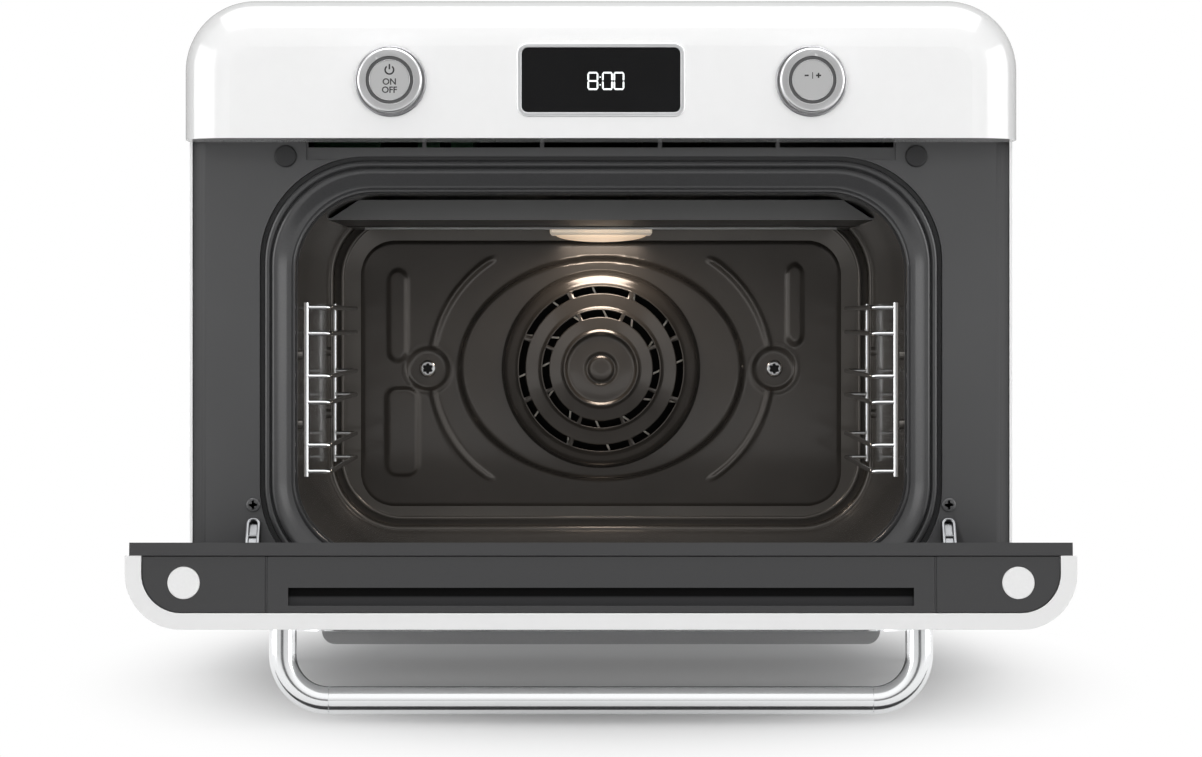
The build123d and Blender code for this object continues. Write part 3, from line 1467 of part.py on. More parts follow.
# Door: a painted shell with rolled sides, open towards the cavity
shell_in = inner_out + inner_panel_thickness
door_middle = (door_top - door_heel) / 2
with BuildPart() as door_shell:
    with BuildSketch(door_level(shell_in)):
        with Locations((0, door_middle)):
            Rectangle(overall_width, door_top + door_heel)
    extrude(amount=outer_out - shell_in)
    outer_face = faces().sort_by(Axis(tuple(pivot), tuple(out_door)))[-1]
    side_edges = outer_face.edges().filter_by(lambda edge: abs(edge.center().X) > casing_half - 1)
    fillet(side_edges, front_round)
    with BuildSketch(door_side(-casing_half)):
        door_profile()
    extrude(amount=overall_width, mode=Mode.INTERSECT)
    inner_faces = faces().sort_by(Axis(tuple(pivot), tuple(out_door)))[0]
    offset(amount=-shell_wall, openings=inner_faces)
    with BuildSketch(door_section(door_top)):
        with BuildLine():
            rim_half = casing_half - shell_rim
            rim_low = shell_rim - outer_out
            Line((-rim_half, -shell_in), (rim_half, -shell_in))
            Line((rim_half, -shell_in), (rim_half, rim_low + shell_rim_corner))
            CenterArc((rim_half - shell_rim_corner, rim_low + shell_rim_corner), shell_rim_corner, 270, 90)
            Line((rim_half - shell_rim_corner, rim_low), (shell_rim_corner - rim_half, rim_low))
            CenterArc((shell_rim_corner - rim_half, rim_low + shell_rim_corner), shell_rim_corner, 180, 90)
            Line((-rim_half, rim_low + shell_rim_corner), (-rim_half, -shell_in))
        make_face()
    extrude(amount=-2 * shell_wall, mode=Mode.SUBTRACT)
    with BuildSketch(door_level(outer_out)):
        door_panel(window_half, window_low, window_high, window_corner)
        with Locations((-handle_offset, door_top - handle_inset), (handle_offset, door_top - handle_inset)):
            Circle(bolt_radius + seat_gap)
    extrude(amount=-2 * shell_wall, mode=Mode.SUBTRACT)
    with BuildSketch(door_level(shell_in)):
        with Locations((-hinge_offset, -door_heel), (hinge_offset, -door_heel)):
            Rectangle(door_slot_width, 2 * door_heel)
    extrude(amount=hinge_boss_radius - shell_in, mode=Mode.SUBTRACT)
door_shell.part.label = "door_shell"

with BuildPart() as door_inner_panel:
    with BuildSketch(door_level(inner_out)):
        with Locations((0, door_middle)):
            Rectangle(2 * inner_panel_half, door_top + door_heel)
    extrude(amount=inner_panel_thickness)
    with BuildSketch(door_side(-casing_half)):
        door_profile()
    extrude(amount=overall_width, mode=Mode.INTERSECT)
    with BuildSketch(door_level(inner_out)):
        door_panel(
            inner_glass_half + seat_gap,
            inner_glass_low - seat_gap,
            inner_glass_high + seat_gap,
            inner_glass_corner + seat_gap,
        )
    extrude(amount=inner_glass_thickness, mode=Mode.SUBTRACT)
    with BuildSketch(door_level(inner_out)):
        door_panel(
            inner_glass_half - glass_border,
            inner_glass_low + glass_border,
            inner_glass_high - glass_border,
            inner_glass_corner,
        )
    extrude(amount=inner_panel_thickness, mode=Mode.SUBTRACT)
    with BuildSketch(door_level(inner_out)):
        with Locations((-hinge_offset, 0), (hinge_offset, 0)):
            with Locations((0, (door_slot_high - door_heel) / 2)):
                Rectangle(door_slot_width, door_slot_high + door_heel)
    extrude(amount=inner_panel_thickness, mode=Mode.SUBTRACT)
door_inner_panel.part.label = "door_inner_panel"

with BuildPart() as door_inner_glass:
    with BuildSketch(door_level(inner_out)):
        door_panel(inner_glass_half, inner_glass_low, inner_glass_high, inner_glass_corner)
    extrude(amount=inner_glass_thickness - seat_gap)
door_inner_glass.part.label = "door_inner_glass"

cap_top = door_top - end_cap_recess
cap_half = casing_half - shell_rim - seat_gap
cap_low = shell_rim + seat_gap - outer_out
cap_corner = shell_rim_corner - seat_gap
with BuildPart() as door_end_cap:
    with BuildSketch(door_section(cap_top)):
        with BuildLine():
            cap_high = -shell_in - seat_gap
            Line((-cap_half, cap_high), (cap_half, cap_high))
            Line((cap_half, cap_high), (cap_half, cap_low + cap_corner))
            CenterArc((cap_half - cap_corner, cap_low + cap_corner), cap_corner, 270, 90)
            Line((cap_half - cap_corner, cap_low), (cap_corner - cap_half, cap_low))
            CenterArc((cap_corner - cap_half, cap_low + cap_corner), cap_corner, 180, 90)
            Line((-cap_half, cap_low + cap_corner), (-cap_half, cap_high))
        make_face()
    extrude(amount=-end_cap_wall)
    with BuildSketch(door_section(cap_top)):
        with Locations((0, -grip_slot_out)):
            Rectangle(2 * grip_slot_half, grip_slot_height)
    extrude(amount=-grip_slot_depth, mode=Mode.SUBTRACT)
    with BuildSketch(door_section(cap_top)):
        for crease_x in (-crease_offset, crease_offset):
            with Locations((crease_x, cap_low + (cap_high - cap_low) / 2)):
                Rectangle(crease_width, cap_high - cap_low)
    extrude(amount=-crease_depth, mode=Mode.SUBTRACT)
    with BuildSketch(door_section(cap_top)):
        with Locations((-plug_offset, -plug_out), (plug_offset, -plug_out)):
            Circle(plug_radius + run_gap)
    extrude(amount=-plug_wall, mode=Mode.SUBTRACT)
door_end_cap.part.label = "door_end_cap"

with BuildPart() as end_cap_plugs:
    with BuildSketch(door_section(cap_top - plug_wall)):
        with Locations((-plug_offset, -plug_out), (plug_offset, -plug_out)):
            Circle(plug_radius)
    extrude(amount=plug_wall + end_cap_recess / 2)
end_cap_plugs.part.label = "end_cap_plugs"

with BuildPart() as window_trim:
    with BuildSketch(door_level(outer_out)):
        door_panel(
            window_half + trim_flange,
            window_low - trim_flange,
            window_high + trim_flange,
            window_corner + trim_flange,
        )
    extrude(amount=trim_proud)
    with BuildSketch(door_level(outer_out)):
        door_panel(
            window_half - seat_gap,
            window_low + seat_gap,
            window_high - seat_gap,
            window_corner - seat_gap,
        )
    extrude(amount=-trim_collar)
    with BuildSketch(door_level(outer_out + trim_proud)):
        door_panel(
            window_half - trim_width,
            window_low + trim_width,
            window_high - trim_width,
            window_corner - trim_width,
        )
    extrude(amount=-(trim_proud + trim_collar), mode=Mode.SUBTRACT)
window_trim.part.label = "window_trim"

glass_edge = trim_width + seat_gap
with BuildPart() as door_outer_glass:
    with BuildSketch(door_level(outer_out + trim_proud / 2)):
        door_panel(
            window_half - glass_edge,
            window_low + glass_edge,
            window_high - glass_edge,
            window_corner - glass_edge,
        )
    extrude(amount=-outer_glass_thickness)
door_outer_glass.part.label = "door_outer_glass"

# Handle: a tube between two cast elbows that stand on the door's outer face
handle_up = door_top - handle_inset
bar_out = outer_out + handle_reach
bar_half = handle_offset - handle_bend
with BuildPart() as handle_elbows:
    for elbow_hand in (-1, 1):
        foot_middle = pivot + up_door * handle_up + out_door * outer_out
        foot_point = foot_middle + Vector(elbow_hand * handle_offset, 0, 0)
        corner_point = foot_point + out_door * handle_reach
        end_point = corner_point - Vector(elbow_hand * (handle_bend + seat_gap), 0, 0)
        with BuildLine() as elbow_path:
            FilletPolyline(foot_point, corner_point, end_point, radius=handle_bend)
        with BuildSketch(Plane(origin=foot_point, x_dir=(1, 0, 0), z_dir=out_door)):
            Circle(handle_radius)
        sweep(path=elbow_path.line)
        with BuildSketch(Plane(origin=end_point, x_dir=up_door, z_dir=(-elbow_hand, 0, 0))):
            Circle(handle_radius - handle_wall - seat_gap)
        extrude(amount=spigot_length)
        with BuildSketch(Plane(origin=foot_point, x_dir=(1, 0, 0), z_dir=out_door)):
            Circle(bolt_radius + run_gap)
        extrude(amount=bolt_grip, mode=Mode.SUBTRACT)
handle_elbows.part.label = "handle_elbows"

with BuildPart() as handle_bar:
    bar_middle = pivot + up_door * handle_up + out_door * bar_out
    bar_length = 2 * (bar_half - 2 * seat_gap)
    with BuildSketch(Plane(origin=bar_middle, x_dir=up_door, z_dir=(1, 0, 0))):
        Circle(handle_radius)
        Circle(handle_radius - handle_wall, mode=Mode.SUBTRACT)
    extrude(amount=bar_length / 2, both=True)
handle_bar.part.label = "handle_bar"

shell_inside = outer_out - shell_wall
with BuildPart() as handle_bolts:
    with BuildSketch(door_level(shell_inside)):
        with Locations((-handle_offset, handle_up), (handle_offset, handle_up)):
            RegularPolygon(bolt_head_radius, 6)
    extrude(amount=-bolt_head_height)
    with BuildSketch(door_level(shell_inside)):
        with Locations((-handle_offset, handle_up), (handle_offset, handle_up)):
            Circle(bolt_radius)
    extrude(amount=shell_wall + bolt_grip - seat_gap)
handle_bolts.part.label = "handle_bolts"

# Hinges: an arm fixed in the frame, a pin, and a channel inside the door that turns on it
with BuildPart() as hinge_arms:
    for arm_x in (-hinge_offset, hinge_offset):
        with BuildSketch(beside(arm_x - hinge_arm_width / 2)):
            with Locations((pivot_y, pivot_height)):
                Circle(hinge_boss_radius)
            with BuildLine():
                tail_y = frame_y + hinge_tail
                Polyline(
                    (pivot_y - hinge_boss_radius * 0.6, pivot_height + hinge_boss_radius * 0.75),
                    (frame_y - 2 * frame_gap, hinge_slot_high),
                    (tail_y, hinge_slot_high),
                    (tail_y, hinge_slot_low),
                    (frame_y - 2 * frame_gap, hinge_slot_low),
                    (pivot_y + hinge_boss_radius * 0.6, pivot_height - hinge_boss_radius * 0.75),
                    close=True,
                )
            make_face()
            with Locations((pivot_y, pivot_height)):
                Circle(hinge_pin_radius + run_gap, mode=Mode.SUBTRACT)
        extrude(amount=hinge_arm_width)
        clip_top = Vector(arm_x, frame_y - 1.5 * frame_gap - clip_wire, hinge_slot_high + 2 * clip_wire)
        clip_down = Vector(0, pivot_y - frame_y, pivot_height - hinge_slot_high).normalized()
        leg_end = clip_down * clip_leg
        side = Vector(clip_half_width, 0, 0)
        with BuildLine() as clip_path:
            FilletPolyline(
                clip_top + leg_end - side, clip_top - side, clip_top + side, clip_top + leg_end + side,
                radius=clip_half_width * 0.9,
            )
        with BuildSketch(Plane(origin=clip_path.line @ 0, z_dir=clip_path.line % 0)):
            Circle(clip_wire)
        sweep(path=clip_path.line)
        with BuildSketch(beside(arm_x - clip_half_width)):
            with Locations(((clip_top + leg_end / 2).Y, (clip_top + leg_end / 2).Z)):
                Circle(clip_bar)
        extrude(amount=2 * clip_half_width)
hinge_arms.part.label = "hinge_arms"

pin_half = channel_inner_width / 2 + channel_plate + 2 * frame_gap
with BuildPart() as hinge_pins:
    for pin_x in (-hinge_offset, hinge_offset):
        with BuildSketch(beside(pin_x - pin_half)):
            with Locations((pivot_y, pivot_height)):
                Circle(hinge_pin_radius)
        extrude(amount=2 * pin_half)
hinge_pins.part.label = "hinge_pins"

channel_back = shell_inside - seat_gap
with BuildPart() as hinge_channels:
    for channel_x in (-hinge_offset, hinge_offset):
        with BuildSketch(door_level(-channel_inner_edge)):
            with Locations((channel_x, (channel_length - channel_heel) / 2)):
                Rectangle(channel_inner_width + 2 * channel_plate, channel_length + channel_heel)
        extrude(amount=channel_back + channel_inner_edge)
        with BuildSketch(door_level(-channel_inner_edge)):
            with Locations((channel_x, (channel_length - channel_heel) / 2)):
                Rectangle(channel_inner_width, channel_length + 2 * channel_heel)
        extrude(amount=channel_back + channel_inner_edge - channel_plate, mode=Mode.SUBTRACT)
        with BuildSketch(door_side(channel_x - pin_half)):
            Circle(hinge_pin_radius + run_gap)
        extrude(amount=2 * pin_half, mode=Mode.SUBTRACT)
hinge_channels.part.label = "hinge_channels"

pieces = [
    control_fascia, display_bezel, display_glass, control_board, knob_rings, encoder_bodies,
    outer_wrapper, front_frame, door_gasket, frame_bumpers, cavity_liner, rear_baffle,
    baffle_screws, ceiling_plate, lamp_lens, lamp_bulb, ring_heater, grill_heater,
    convection_fan, fan_shaft, fan_motor, insulation_blanket, inner_deck, power_board,
    blower_housing, blower_rotor, tank_bay, water_tank, fill_flap, steam_boiler, steam_pipe,
    water_pump, water_hose, rear_cover, cable_gland, casing_screws, base_pan, feet,
    drip_tray, door_shell, door_inner_panel, door_inner_glass, door_end_cap, end_cap_plugs,
    window_trim, door_outer_glass, handle_elbows, handle_bar, handle_bolts, hinge_arms,
    hinge_pins, hinge_channels,
]
for piece in pieces + knob_parts + side_racks:
    export_step(piece.part, f"parts/{piece.part.label}.step")
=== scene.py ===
"""Looks of the countertop steam oven: finishes, small pieces, studio and camera, in metres."""

import json
import math

import bmesh
import bpy
from mathutils import Matrix, Vector


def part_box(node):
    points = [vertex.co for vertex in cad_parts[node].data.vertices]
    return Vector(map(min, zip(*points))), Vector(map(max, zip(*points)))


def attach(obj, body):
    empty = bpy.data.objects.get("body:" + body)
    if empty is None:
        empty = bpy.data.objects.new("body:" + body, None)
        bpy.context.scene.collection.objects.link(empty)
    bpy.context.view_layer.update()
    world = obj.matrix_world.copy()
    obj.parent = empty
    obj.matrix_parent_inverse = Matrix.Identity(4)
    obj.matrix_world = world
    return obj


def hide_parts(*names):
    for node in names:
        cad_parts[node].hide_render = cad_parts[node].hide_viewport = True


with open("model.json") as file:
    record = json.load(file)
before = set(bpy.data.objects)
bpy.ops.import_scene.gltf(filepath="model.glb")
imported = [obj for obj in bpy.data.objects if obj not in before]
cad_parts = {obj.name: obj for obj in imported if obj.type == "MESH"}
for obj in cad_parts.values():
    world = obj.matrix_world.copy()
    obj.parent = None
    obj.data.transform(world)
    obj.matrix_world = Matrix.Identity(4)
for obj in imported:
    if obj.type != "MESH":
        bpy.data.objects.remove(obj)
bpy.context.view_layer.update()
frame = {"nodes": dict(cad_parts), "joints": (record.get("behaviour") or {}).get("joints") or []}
nodes = frame["nodes"]

MM = 0.001

# The camera's place and lens, worked out from the photograph's vanishing point and two known widths
image_width_px = 1202
image_height_px = 757
horizon_px = 318
focal_px = 3460.6
camera_back = 2130.7 * MM
camera_height = 215 * MM
sensor_width_mm = 36

# Places that the frame gives
liner_low, liner_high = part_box("cavity_liner")
baffle_low, baffle_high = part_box("rear_baffle")
glass_low, glass_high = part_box("display_glass")
left_disc_low, left_disc_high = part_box("left_knob_insert")
right_disc_low, right_disc_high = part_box("right_knob_insert")
joint = {row["name"]: row for row in frame["joints"]}
fan_centre = Vector(joint["fan_spin"]["pos_m"])
door_rise = math.radians(90 - joint["door_hinge"]["range_deg"][1])


def colour(hex_code):
    """An sRGB hex value as the linear colour that a shader takes."""
    shares = [int(hex_code[at : at + 2], 16) / 255 for at in (1, 3, 5)]
    return tuple(s / 12.92 if s <= 0.04045 else ((s + 0.055) / 1.055) ** 2.4 for s in shares) + (1.0,)


def add_node(tree, kind, settings=None, links=None):
    """Adds a node to a tree, sets its inputs and properties, and links sockets to its inputs."""
    made = tree.nodes.new(kind)
    for name, value in (settings or {}).items():
        if isinstance(name, int) or name in made.inputs:
            made.inputs[name].default_value = value
        else:
            setattr(made, name, value)
    for name, source in (links or {}).items():
        tree.links.new(source, made.inputs[name])
    return made


def new_finish(name, **surface):
    """A material with one principled shader; surface gives the shader's own constants."""
    material = bpy.data.materials.new(name)
    material.use_nodes = True
    tree = material.node_tree
    tree.nodes.clear()
    shader = add_node(tree, "ShaderNodeBsdfPrincipled", surface)
    add_node(tree, "ShaderNodeOutputMaterial", links={"Surface": shader.outputs["BSDF"]})
    place = add_node(tree, "ShaderNodeTexCoord").outputs["Object"]
    return material, tree, shader, place


def stoved_white_enamel(name, low, high):
    """Stove-enamelled steel: a thick glossy white coat with the faint waviness of a sprayed coat."""
    material, tree, shader, place = new_finish(
        name, Roughness=0.16, **{"Coat Weight": 0.6, "Coat Roughness": 0.04}
    )
    wave_mm = 9.0
    wave = add_node(
        tree, "ShaderNodeTexNoise", {"Scale": 1 / (wave_mm * MM), "Detail": 1.0}, {"Vector": place}
    )
    tint = add_node(
        tree,
        "ShaderNodeMix",
        {"data_type": "RGBA", 6: colour(low), 7: colour(high)},
        {0: wave.outputs["Fac"]},
    )
    tree.links.new(tint.outputs[2], shader.inputs["Base Color"])
    bump = add_node(
        tree, "ShaderNodeBump", {"Strength": 0.02, "Distance": 0.1 * MM}, {"Height": wave.outputs["Fac"]}
    )
    tree.links.new(bump.outputs["Normal"], shader.inputs["Normal"])
    return material


def powder_coat(name, low, high, roughness):
    """Satin powder coat: an even film with a fine orange-peel skin, drawn a little coarser than real."""
    material, tree, shader, place = new_finish(name, Roughness=roughness)
    peel_mm = 0.9
    patch_mm = 60.0
    peel = add_node(
        tree, "ShaderNodeTexNoise", {"Scale": 1 / (peel_mm * MM), "Detail": 2.0}, {"Vector": place}
    )
    patch = add_node(
        tree, "ShaderNodeTexNoise", {"Scale": 1 / (patch_mm * MM), "Detail": 2.0}, {"Vector": place}
    )
    tint = add_node(
        tree,
        "ShaderNodeMix",
        {"data_type": "RGBA", 6: colour(low), 7: colour(high)},
        {0: patch.outputs["Fac"]},
    )
    tree.links.new(tint.outputs[2], shader.inputs["Base Color"])
    bump = add_node(
        tree, "ShaderNodeBump", {"Strength": 0.10, "Distance": 0.05 * MM}, {"Height": peel.outputs["Fac"]}
    )
    tree.links.new(bump.outputs["Normal"], shader.inputs["Normal"])
    return material


def vitreous_enamel(name, low, high):
    """Vitreous enamel fired on steel: dark and glossy, with a warm metallic depth where light grazes it."""
    material, tree, shader, place = new_finish(
        name, Metallic=0.55, **{"Coat Weight": 0.4, "Coat Roughness": 0.08}
    )
    mottle_mm = 25.0
    fleck_mm = 0.8
    mottle = add_node(
        tree, "ShaderNodeTexNoise", {"Scale": 1 / (mottle_mm * MM), "Detail": 3.0}, {"Vector": place}
    )
    fleck = add_node(
        tree, "ShaderNodeTexNoise", {"Scale": 1 / (fleck_mm * MM), "Detail": 1.0}, {"Vector": place}
    )
    tint = add_node(
        tree,
        "ShaderNodeMix",
        {"data_type": "RGBA", 6: colour(low), 7: colour(high)},
        {0: mottle.outputs["Fac"]},
    )
    tree.links.new(tint.outputs[2], shader.inputs["Base Color"])
    gloss = add_node(
        tree,
        "ShaderNodeMapRange",
        {"From Min": 0.3, "From Max": 0.7, "To Min": 0.22, "To Max": 0.25},
        {"Value": mottle.outputs["Fac"]},
    )
    tree.links.new(gloss.outputs["Result"], shader.inputs["Roughness"])
    bump = add_node(
        tree, "ShaderNodeBump", {"Strength": 0.02, "Distance": 0.03 * MM}, {"Height": fleck.outputs["Fac"]}
    )
    tree.links.new(bump.outputs["Normal"], shader.inputs["Normal"])
    return material


def polished_chrome(name="polished_chrome", roughness=0.14):
    """Chrome plate over polished steel: a bright, slightly soft mirror with a cool cast and uneven gloss."""
    material, tree, shader, place = new_finish(name, Metallic=1.0, **{"Base Color": colour("#eeeff0")})
    haze_mm = 14.0
    haze = add_node(
        tree, "ShaderNodeTexNoise", {"Scale": 1 / (haze_mm * MM), "Detail": 2.0}, {"Vector": place}
    )
    gloss = add_node(
        tree,
        "ShaderNodeMapRange",
        {"From Min": 0.3, "From Max": 0.7, "To Min": roughness, "To Max": roughness + 0.03},
        {"Value": haze.outputs["Fac"]},
    )
    tree.links.new(gloss.outputs["Result"], shader.inputs["Roughness"])
    return material


def turned_metal(name, centre, low, high):
    """Satin metal faced on a lathe: fine rings about the centre, drawn as coarse as they need to show."""
    material, tree, shader, place = new_finish(name, Metallic=1.0, Roughness=0.3, Anisotropic=0.4)
    ring_mm = 0.5
    about = add_node(tree, "ShaderNodeMapping", {"Location": [-x for x in centre]}, {"Vector": place})
    ring = add_node(
        tree,
        "ShaderNodeTexWave",
        {"wave_type": "RINGS", "rings_direction": "Y", "Scale": 0.314 / (ring_mm * MM), "Distortion": 0.0},
        {"Vector": about.outputs["Vector"]},
    )
    tint = add_node(
        tree,
        "ShaderNodeMix",
        {"data_type": "RGBA", 6: colour(low), 7: colour(high)},
        {0: ring.outputs["Fac"]},
    )
    tree.links.new(tint.outputs[2], shader.inputs["Base Color"])
    bump = add_node(
        tree, "ShaderNodeBump", {"Strength": 0.08, "Distance": 0.05 * MM}, {"Height": ring.outputs["Fac"]}
    )
    tree.links.new(bump.outputs["Normal"], shader.inputs["Normal"])
    return material


def zinc_plate(name, low, high):
    """Zinc-plated, sprung or turned steel: a metal grey with soft cloudy spangle."""
    material, tree, shader, place = new_finish(name, Metallic=1.0, Roughness=0.28)
    spangle_mm = 6.0
    spangle = add_node(tree, "ShaderNodeTexVoronoi", {"Scale": 1 / (spangle_mm * MM)}, {"Vector": place})
    tint = add_node(
        tree,
        "ShaderNodeMix",
        {"data_type": "RGBA", 6: colour(low), 7: colour(high)},
        {0: spangle.outputs["Distance"]},
    )
    tree.links.new(tint.outputs[2], shader.inputs["Base Color"])
    return material


def heat_darkened_steel():
    """Stainless steel that heat has browned: heater sheaths, the fan's motor, the boiler and its pipe."""
    material, tree, shader, place = new_finish("heat_darkened_steel", Metallic=1.0, Roughness=0.34)
    stain_mm = 18.0
    stain = add_node(
        tree, "ShaderNodeTexNoise", {"Scale": 1 / (stain_mm * MM), "Detail": 4.0}, {"Vector": place}
    )
    tint = add_node(
        tree,
        "ShaderNodeMix",
        {"data_type": "RGBA", 6: colour("#a39a90"), 7: colour("#d8d2ca")},
        {0: stain.outputs["Fac"]},
    )
    tree.links.new(tint.outputs[2], shader.inputs["Base Color"])
    return material


def fan_steel_painted_shade():
    """A fan's steel: bright along the blades' front edges, and painted shade, near black, behind them."""
    material, tree, shader, place = new_finish("fan_steel_painted_shade", Metallic=0.8, Roughness=0.35)
    fan_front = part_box("convection_fan")[0].y
    unshaded_band_mm = 5.0
    depth = add_node(tree, "ShaderNodeSeparateXYZ", links={0: place}).outputs["Y"]
    painted_shade_share = add_node(
        tree,
        "ShaderNodeMapRange",
        {"From Min": fan_front + unshaded_band_mm * MM, "From Max": fan_front + 2 * unshaded_band_mm * MM},
        {"Value": depth},
    )
    tint = add_node(
        tree,
        "ShaderNodeMix",
        {"data_type": "RGBA", 6: colour("#f2ece2"), 7: colour("#0c0b0a")},
        {0: painted_shade_share.outputs["Result"]},
    )
    tree.links.new(tint.outputs[2], shader.inputs["Base Color"])
    return material


def shaded_recess():
    """The inside of the grip slot: the same ABS, with painted shade that is darkest under its upper lip."""
    material, tree, shader, place = new_finish("shaded_recess", Roughness=0.8, **{"Specular IOR Level": 0.06})
    lip_rise_mm = 7.7
    shade_band_mm = 1.2
    shade_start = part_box("door_end_cap")[0].z + lip_rise_mm * MM
    height = add_node(tree, "ShaderNodeSeparateXYZ", links={0: place}).outputs["Z"]
    shade = add_node(
        tree,
        "ShaderNodeMapRange",
        {"From Min": shade_start, "From Max": shade_start + shade_band_mm * MM},
        {"Value": height},
    )
    tint = add_node(
        tree,
        "ShaderNodeMix",
        {"data_type": "RGBA", 6: colour("#343435"), 7: colour("#090909")},
        {0: shade.outputs["Result"]},
    )
    tree.links.new(tint.outputs[2], shader.inputs["Base Color"])
    return material


def dark_display_glass():
    """Black-printed toughened glass: a deep black under a polished face."""
    material, tree, shader, place = new_finish(
        "dark_display_glass", Roughness=0.06, IOR=1.5, **{"Coat Weight": 0.5, "Coat Roughness": 0.02}
    )
    ink_mm = 30.0
    ink = add_node(tree, "ShaderNodeTexNoise", {"Scale": 1 / (ink_mm * MM), "Detail": 1.0}, {"Vector": place})
    tint = add_node(
        tree,
        "ShaderNodeMix",
        {"data_type": "RGBA", 6: colour("#161616"), 7: colour("#1a1a1b")},
        {0: ink.outputs["Fac"]},
    )
    tree.links.new(tint.outputs[2], shader.inputs["Base Color"])
    return material


def tinted_door_glass():
    """Tinted toughened glass: smoky, smooth and partly clear."""
    material, tree, shader, place = new_finish(
        "tinted_door_glass", IOR=1.5, Roughness=0.03, Alpha=0.9, **{"Transmission Weight": 0.35}
    )
    smoke_mm = 120.0
    smoke = add_node(
        tree, "ShaderNodeTexNoise", {"Scale": 1 / (smoke_mm * MM), "Detail": 1.0}, {"Vector": place}
    )
    tint = add_node(
        tree,
        "ShaderNodeMix",
        {"data_type": "RGBA", 6: colour("#1b1c1e"), 7: colour("#232427")},
        {0: smoke.outputs["Fac"]},
    )
    tree.links.new(tint.outputs[2], shader.inputs["Base Color"])
    return material


def lit_lamp_glass(name, brightest, edge):
    """Frosted lamp glass, lit from behind: a warm white that is brightest over the bulb."""
    material, tree, shader, place = new_finish(
        name,
        Roughness=0.35,
        **{"Base Color": colour("#fff1dc"), "Emission Color": colour("#fff1e0"), "Transmission Weight": 0.3},
    )
    lens_low, lens_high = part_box("lamp_lens")
    middle = (lens_low + lens_high) / 2
    glow_mm = 34.0
    about = add_node(tree, "ShaderNodeMapping", {"Location": [-x for x in middle]}, {"Vector": place})
    reach = add_node(tree, "ShaderNodeVectorMath", {"operation": "LENGTH"}, {0: about.outputs["Vector"]})
    glow = add_node(
        tree,
        "ShaderNodeMapRange",
        {"From Min": 0.0, "From Max": glow_mm * MM, "To Min": brightest, "To Max": edge},
        {"Value": reach.outputs["Value"]},
    )
    tree.links.new(glow.outputs["Result"], shader.inputs["Emission Strength"])
    return material


def lit_digit():
    """A lit segment of the clock: even cool white."""
    material, tree, shader, place = new_finish(
        "lit_digit",
        Roughness=0.5,
        **{"Base Color": colour("#d8dcdc"), "Emission Color": colour("#f2f7f7")},
    )
    cell_mm = 2.0
    cell = add_node(tree, "ShaderNodeTexNoise", {"Scale": 1 / (cell_mm * MM)}, {"Vector": place})
    level = add_node(
        tree, "ShaderNodeMapRange", {"To Min": 0.8, "To Max": 1.0}, {"Value": cell.outputs["Fac"]}
    )
    tree.links.new(level.outputs["Result"], shader.inputs["Emission Strength"])
    return material


def printed_ink_and_recess_shade():
    """Black ink printed on metal: flat and slightly uneven. The screw heads' recesses take it too, as painted
    shade.
    """
    material, tree, shader, place = new_finish("printed_ink_and_recess_shade", Roughness=0.55)
    grain_mm = 0.4
    grain = add_node(tree, "ShaderNodeTexNoise", {"Scale": 1 / (grain_mm * MM)}, {"Vector": place})
    tint = add_node(
        tree,
        "ShaderNodeMix",
        {"data_type": "RGBA", 6: colour("#0b0b0b"), 7: colour("#181818")},
        {0: grain.outputs["Fac"]},
    )
    tree.links.new(tint.outputs[2], shader.inputs["Base Color"])
    return material


def moulded_plastic(name, low, high, roughness, grain_mm):
    """Moulded ABS or silicone, or a board's lacquer: a fine spark-eroded grain over an even colour."""
    material, tree, shader, place = new_finish(name, Roughness=roughness)
    grain = add_node(
        tree, "ShaderNodeTexNoise", {"Scale": 1 / (grain_mm * MM), "Detail": 2.0}, {"Vector": place}
    )
    tint = add_node(
        tree,
        "ShaderNodeMix",
        {"data_type": "RGBA", 6: colour(low), 7: colour(high)},
        {0: grain.outputs["Fac"]},
    )
    tree.links.new(tint.outputs[2], shader.inputs["Base Color"])
    bump = add_node(
        tree, "ShaderNodeBump", {"Strength": 0.12, "Distance": 0.04 * MM}, {"Height": grain.outputs["Fac"]}
    )
    tree.links.new(bump.outputs["Normal"], shader.inputs["Normal"])
    return material


def mineral_wool():
    """Pressed mineral wool: pale ochre fibres that lie every way."""
    material, tree, shader, place = new_finish("mineral_wool", Roughness=0.95)
    fibre_mm = 2.5
    fibre = add_node(
        tree,
        "ShaderNodeTexNoise",
        {"Scale": 1 / (fibre_mm * MM), "Detail": 8.0, "Distortion": 2.0},
        {"Vector": place},
    )
    tint = add_node(
        tree,
        "ShaderNodeMix",
        {"data_type": "RGBA", 6: colour("#a48f5f"), 7: colour("#d9cba0")},
        {0: fibre.outputs["Fac"]},
    )
    tree.links.new(tint.outputs[2], shader.inputs["Base Color"])
    bump = add_node(
        tree, "ShaderNodeBump", {"Strength": 0.5, "Distance": 0.6 * MM}, {"Height": fibre.outputs["Fac"]}
    )
    tree.links.new(bump.outputs["Normal"], shader.inputs["Normal"])
    return material


dark_frame_coat = powder_coat("satin_powder_coat", "#3e3e3f", "#454546", 0.42)
white_enamel = stoved_white_enamel("stoved_white_enamel", "#f5f5f5", "#f7f7f7")
oven_enamel = vitreous_enamel("vitreous_enamel", "#4b4743", "#504c48")
liner_enamel = vitreous_enamel("vitreous_liner_enamel", "#6b6763", "#716d68")
chrome = polished_chrome()
satin_chrome = polished_chrome("satin_chrome_wire", 0.16)
zinc = zinc_plate("zinc_plate", "#b9babb", "#d3d4d5")
screw_zinc = polished_chrome("bright_zinc_screw", 0.22)
dark_screw = powder_coat("blackened_screw_steel", "#4a4a4b", "#5a5a5b", 0.25)
hot_steel = heat_darkened_steel()
fan_with_painted_shade = fan_steel_painted_shade()
slot_shade = shaded_recess()
clip_steel = zinc_plate("spring_steel_clip", "#77787a", "#8a8b8d")
bezel_chrome = polished_chrome("satin_chrome_bezel", 0.3)
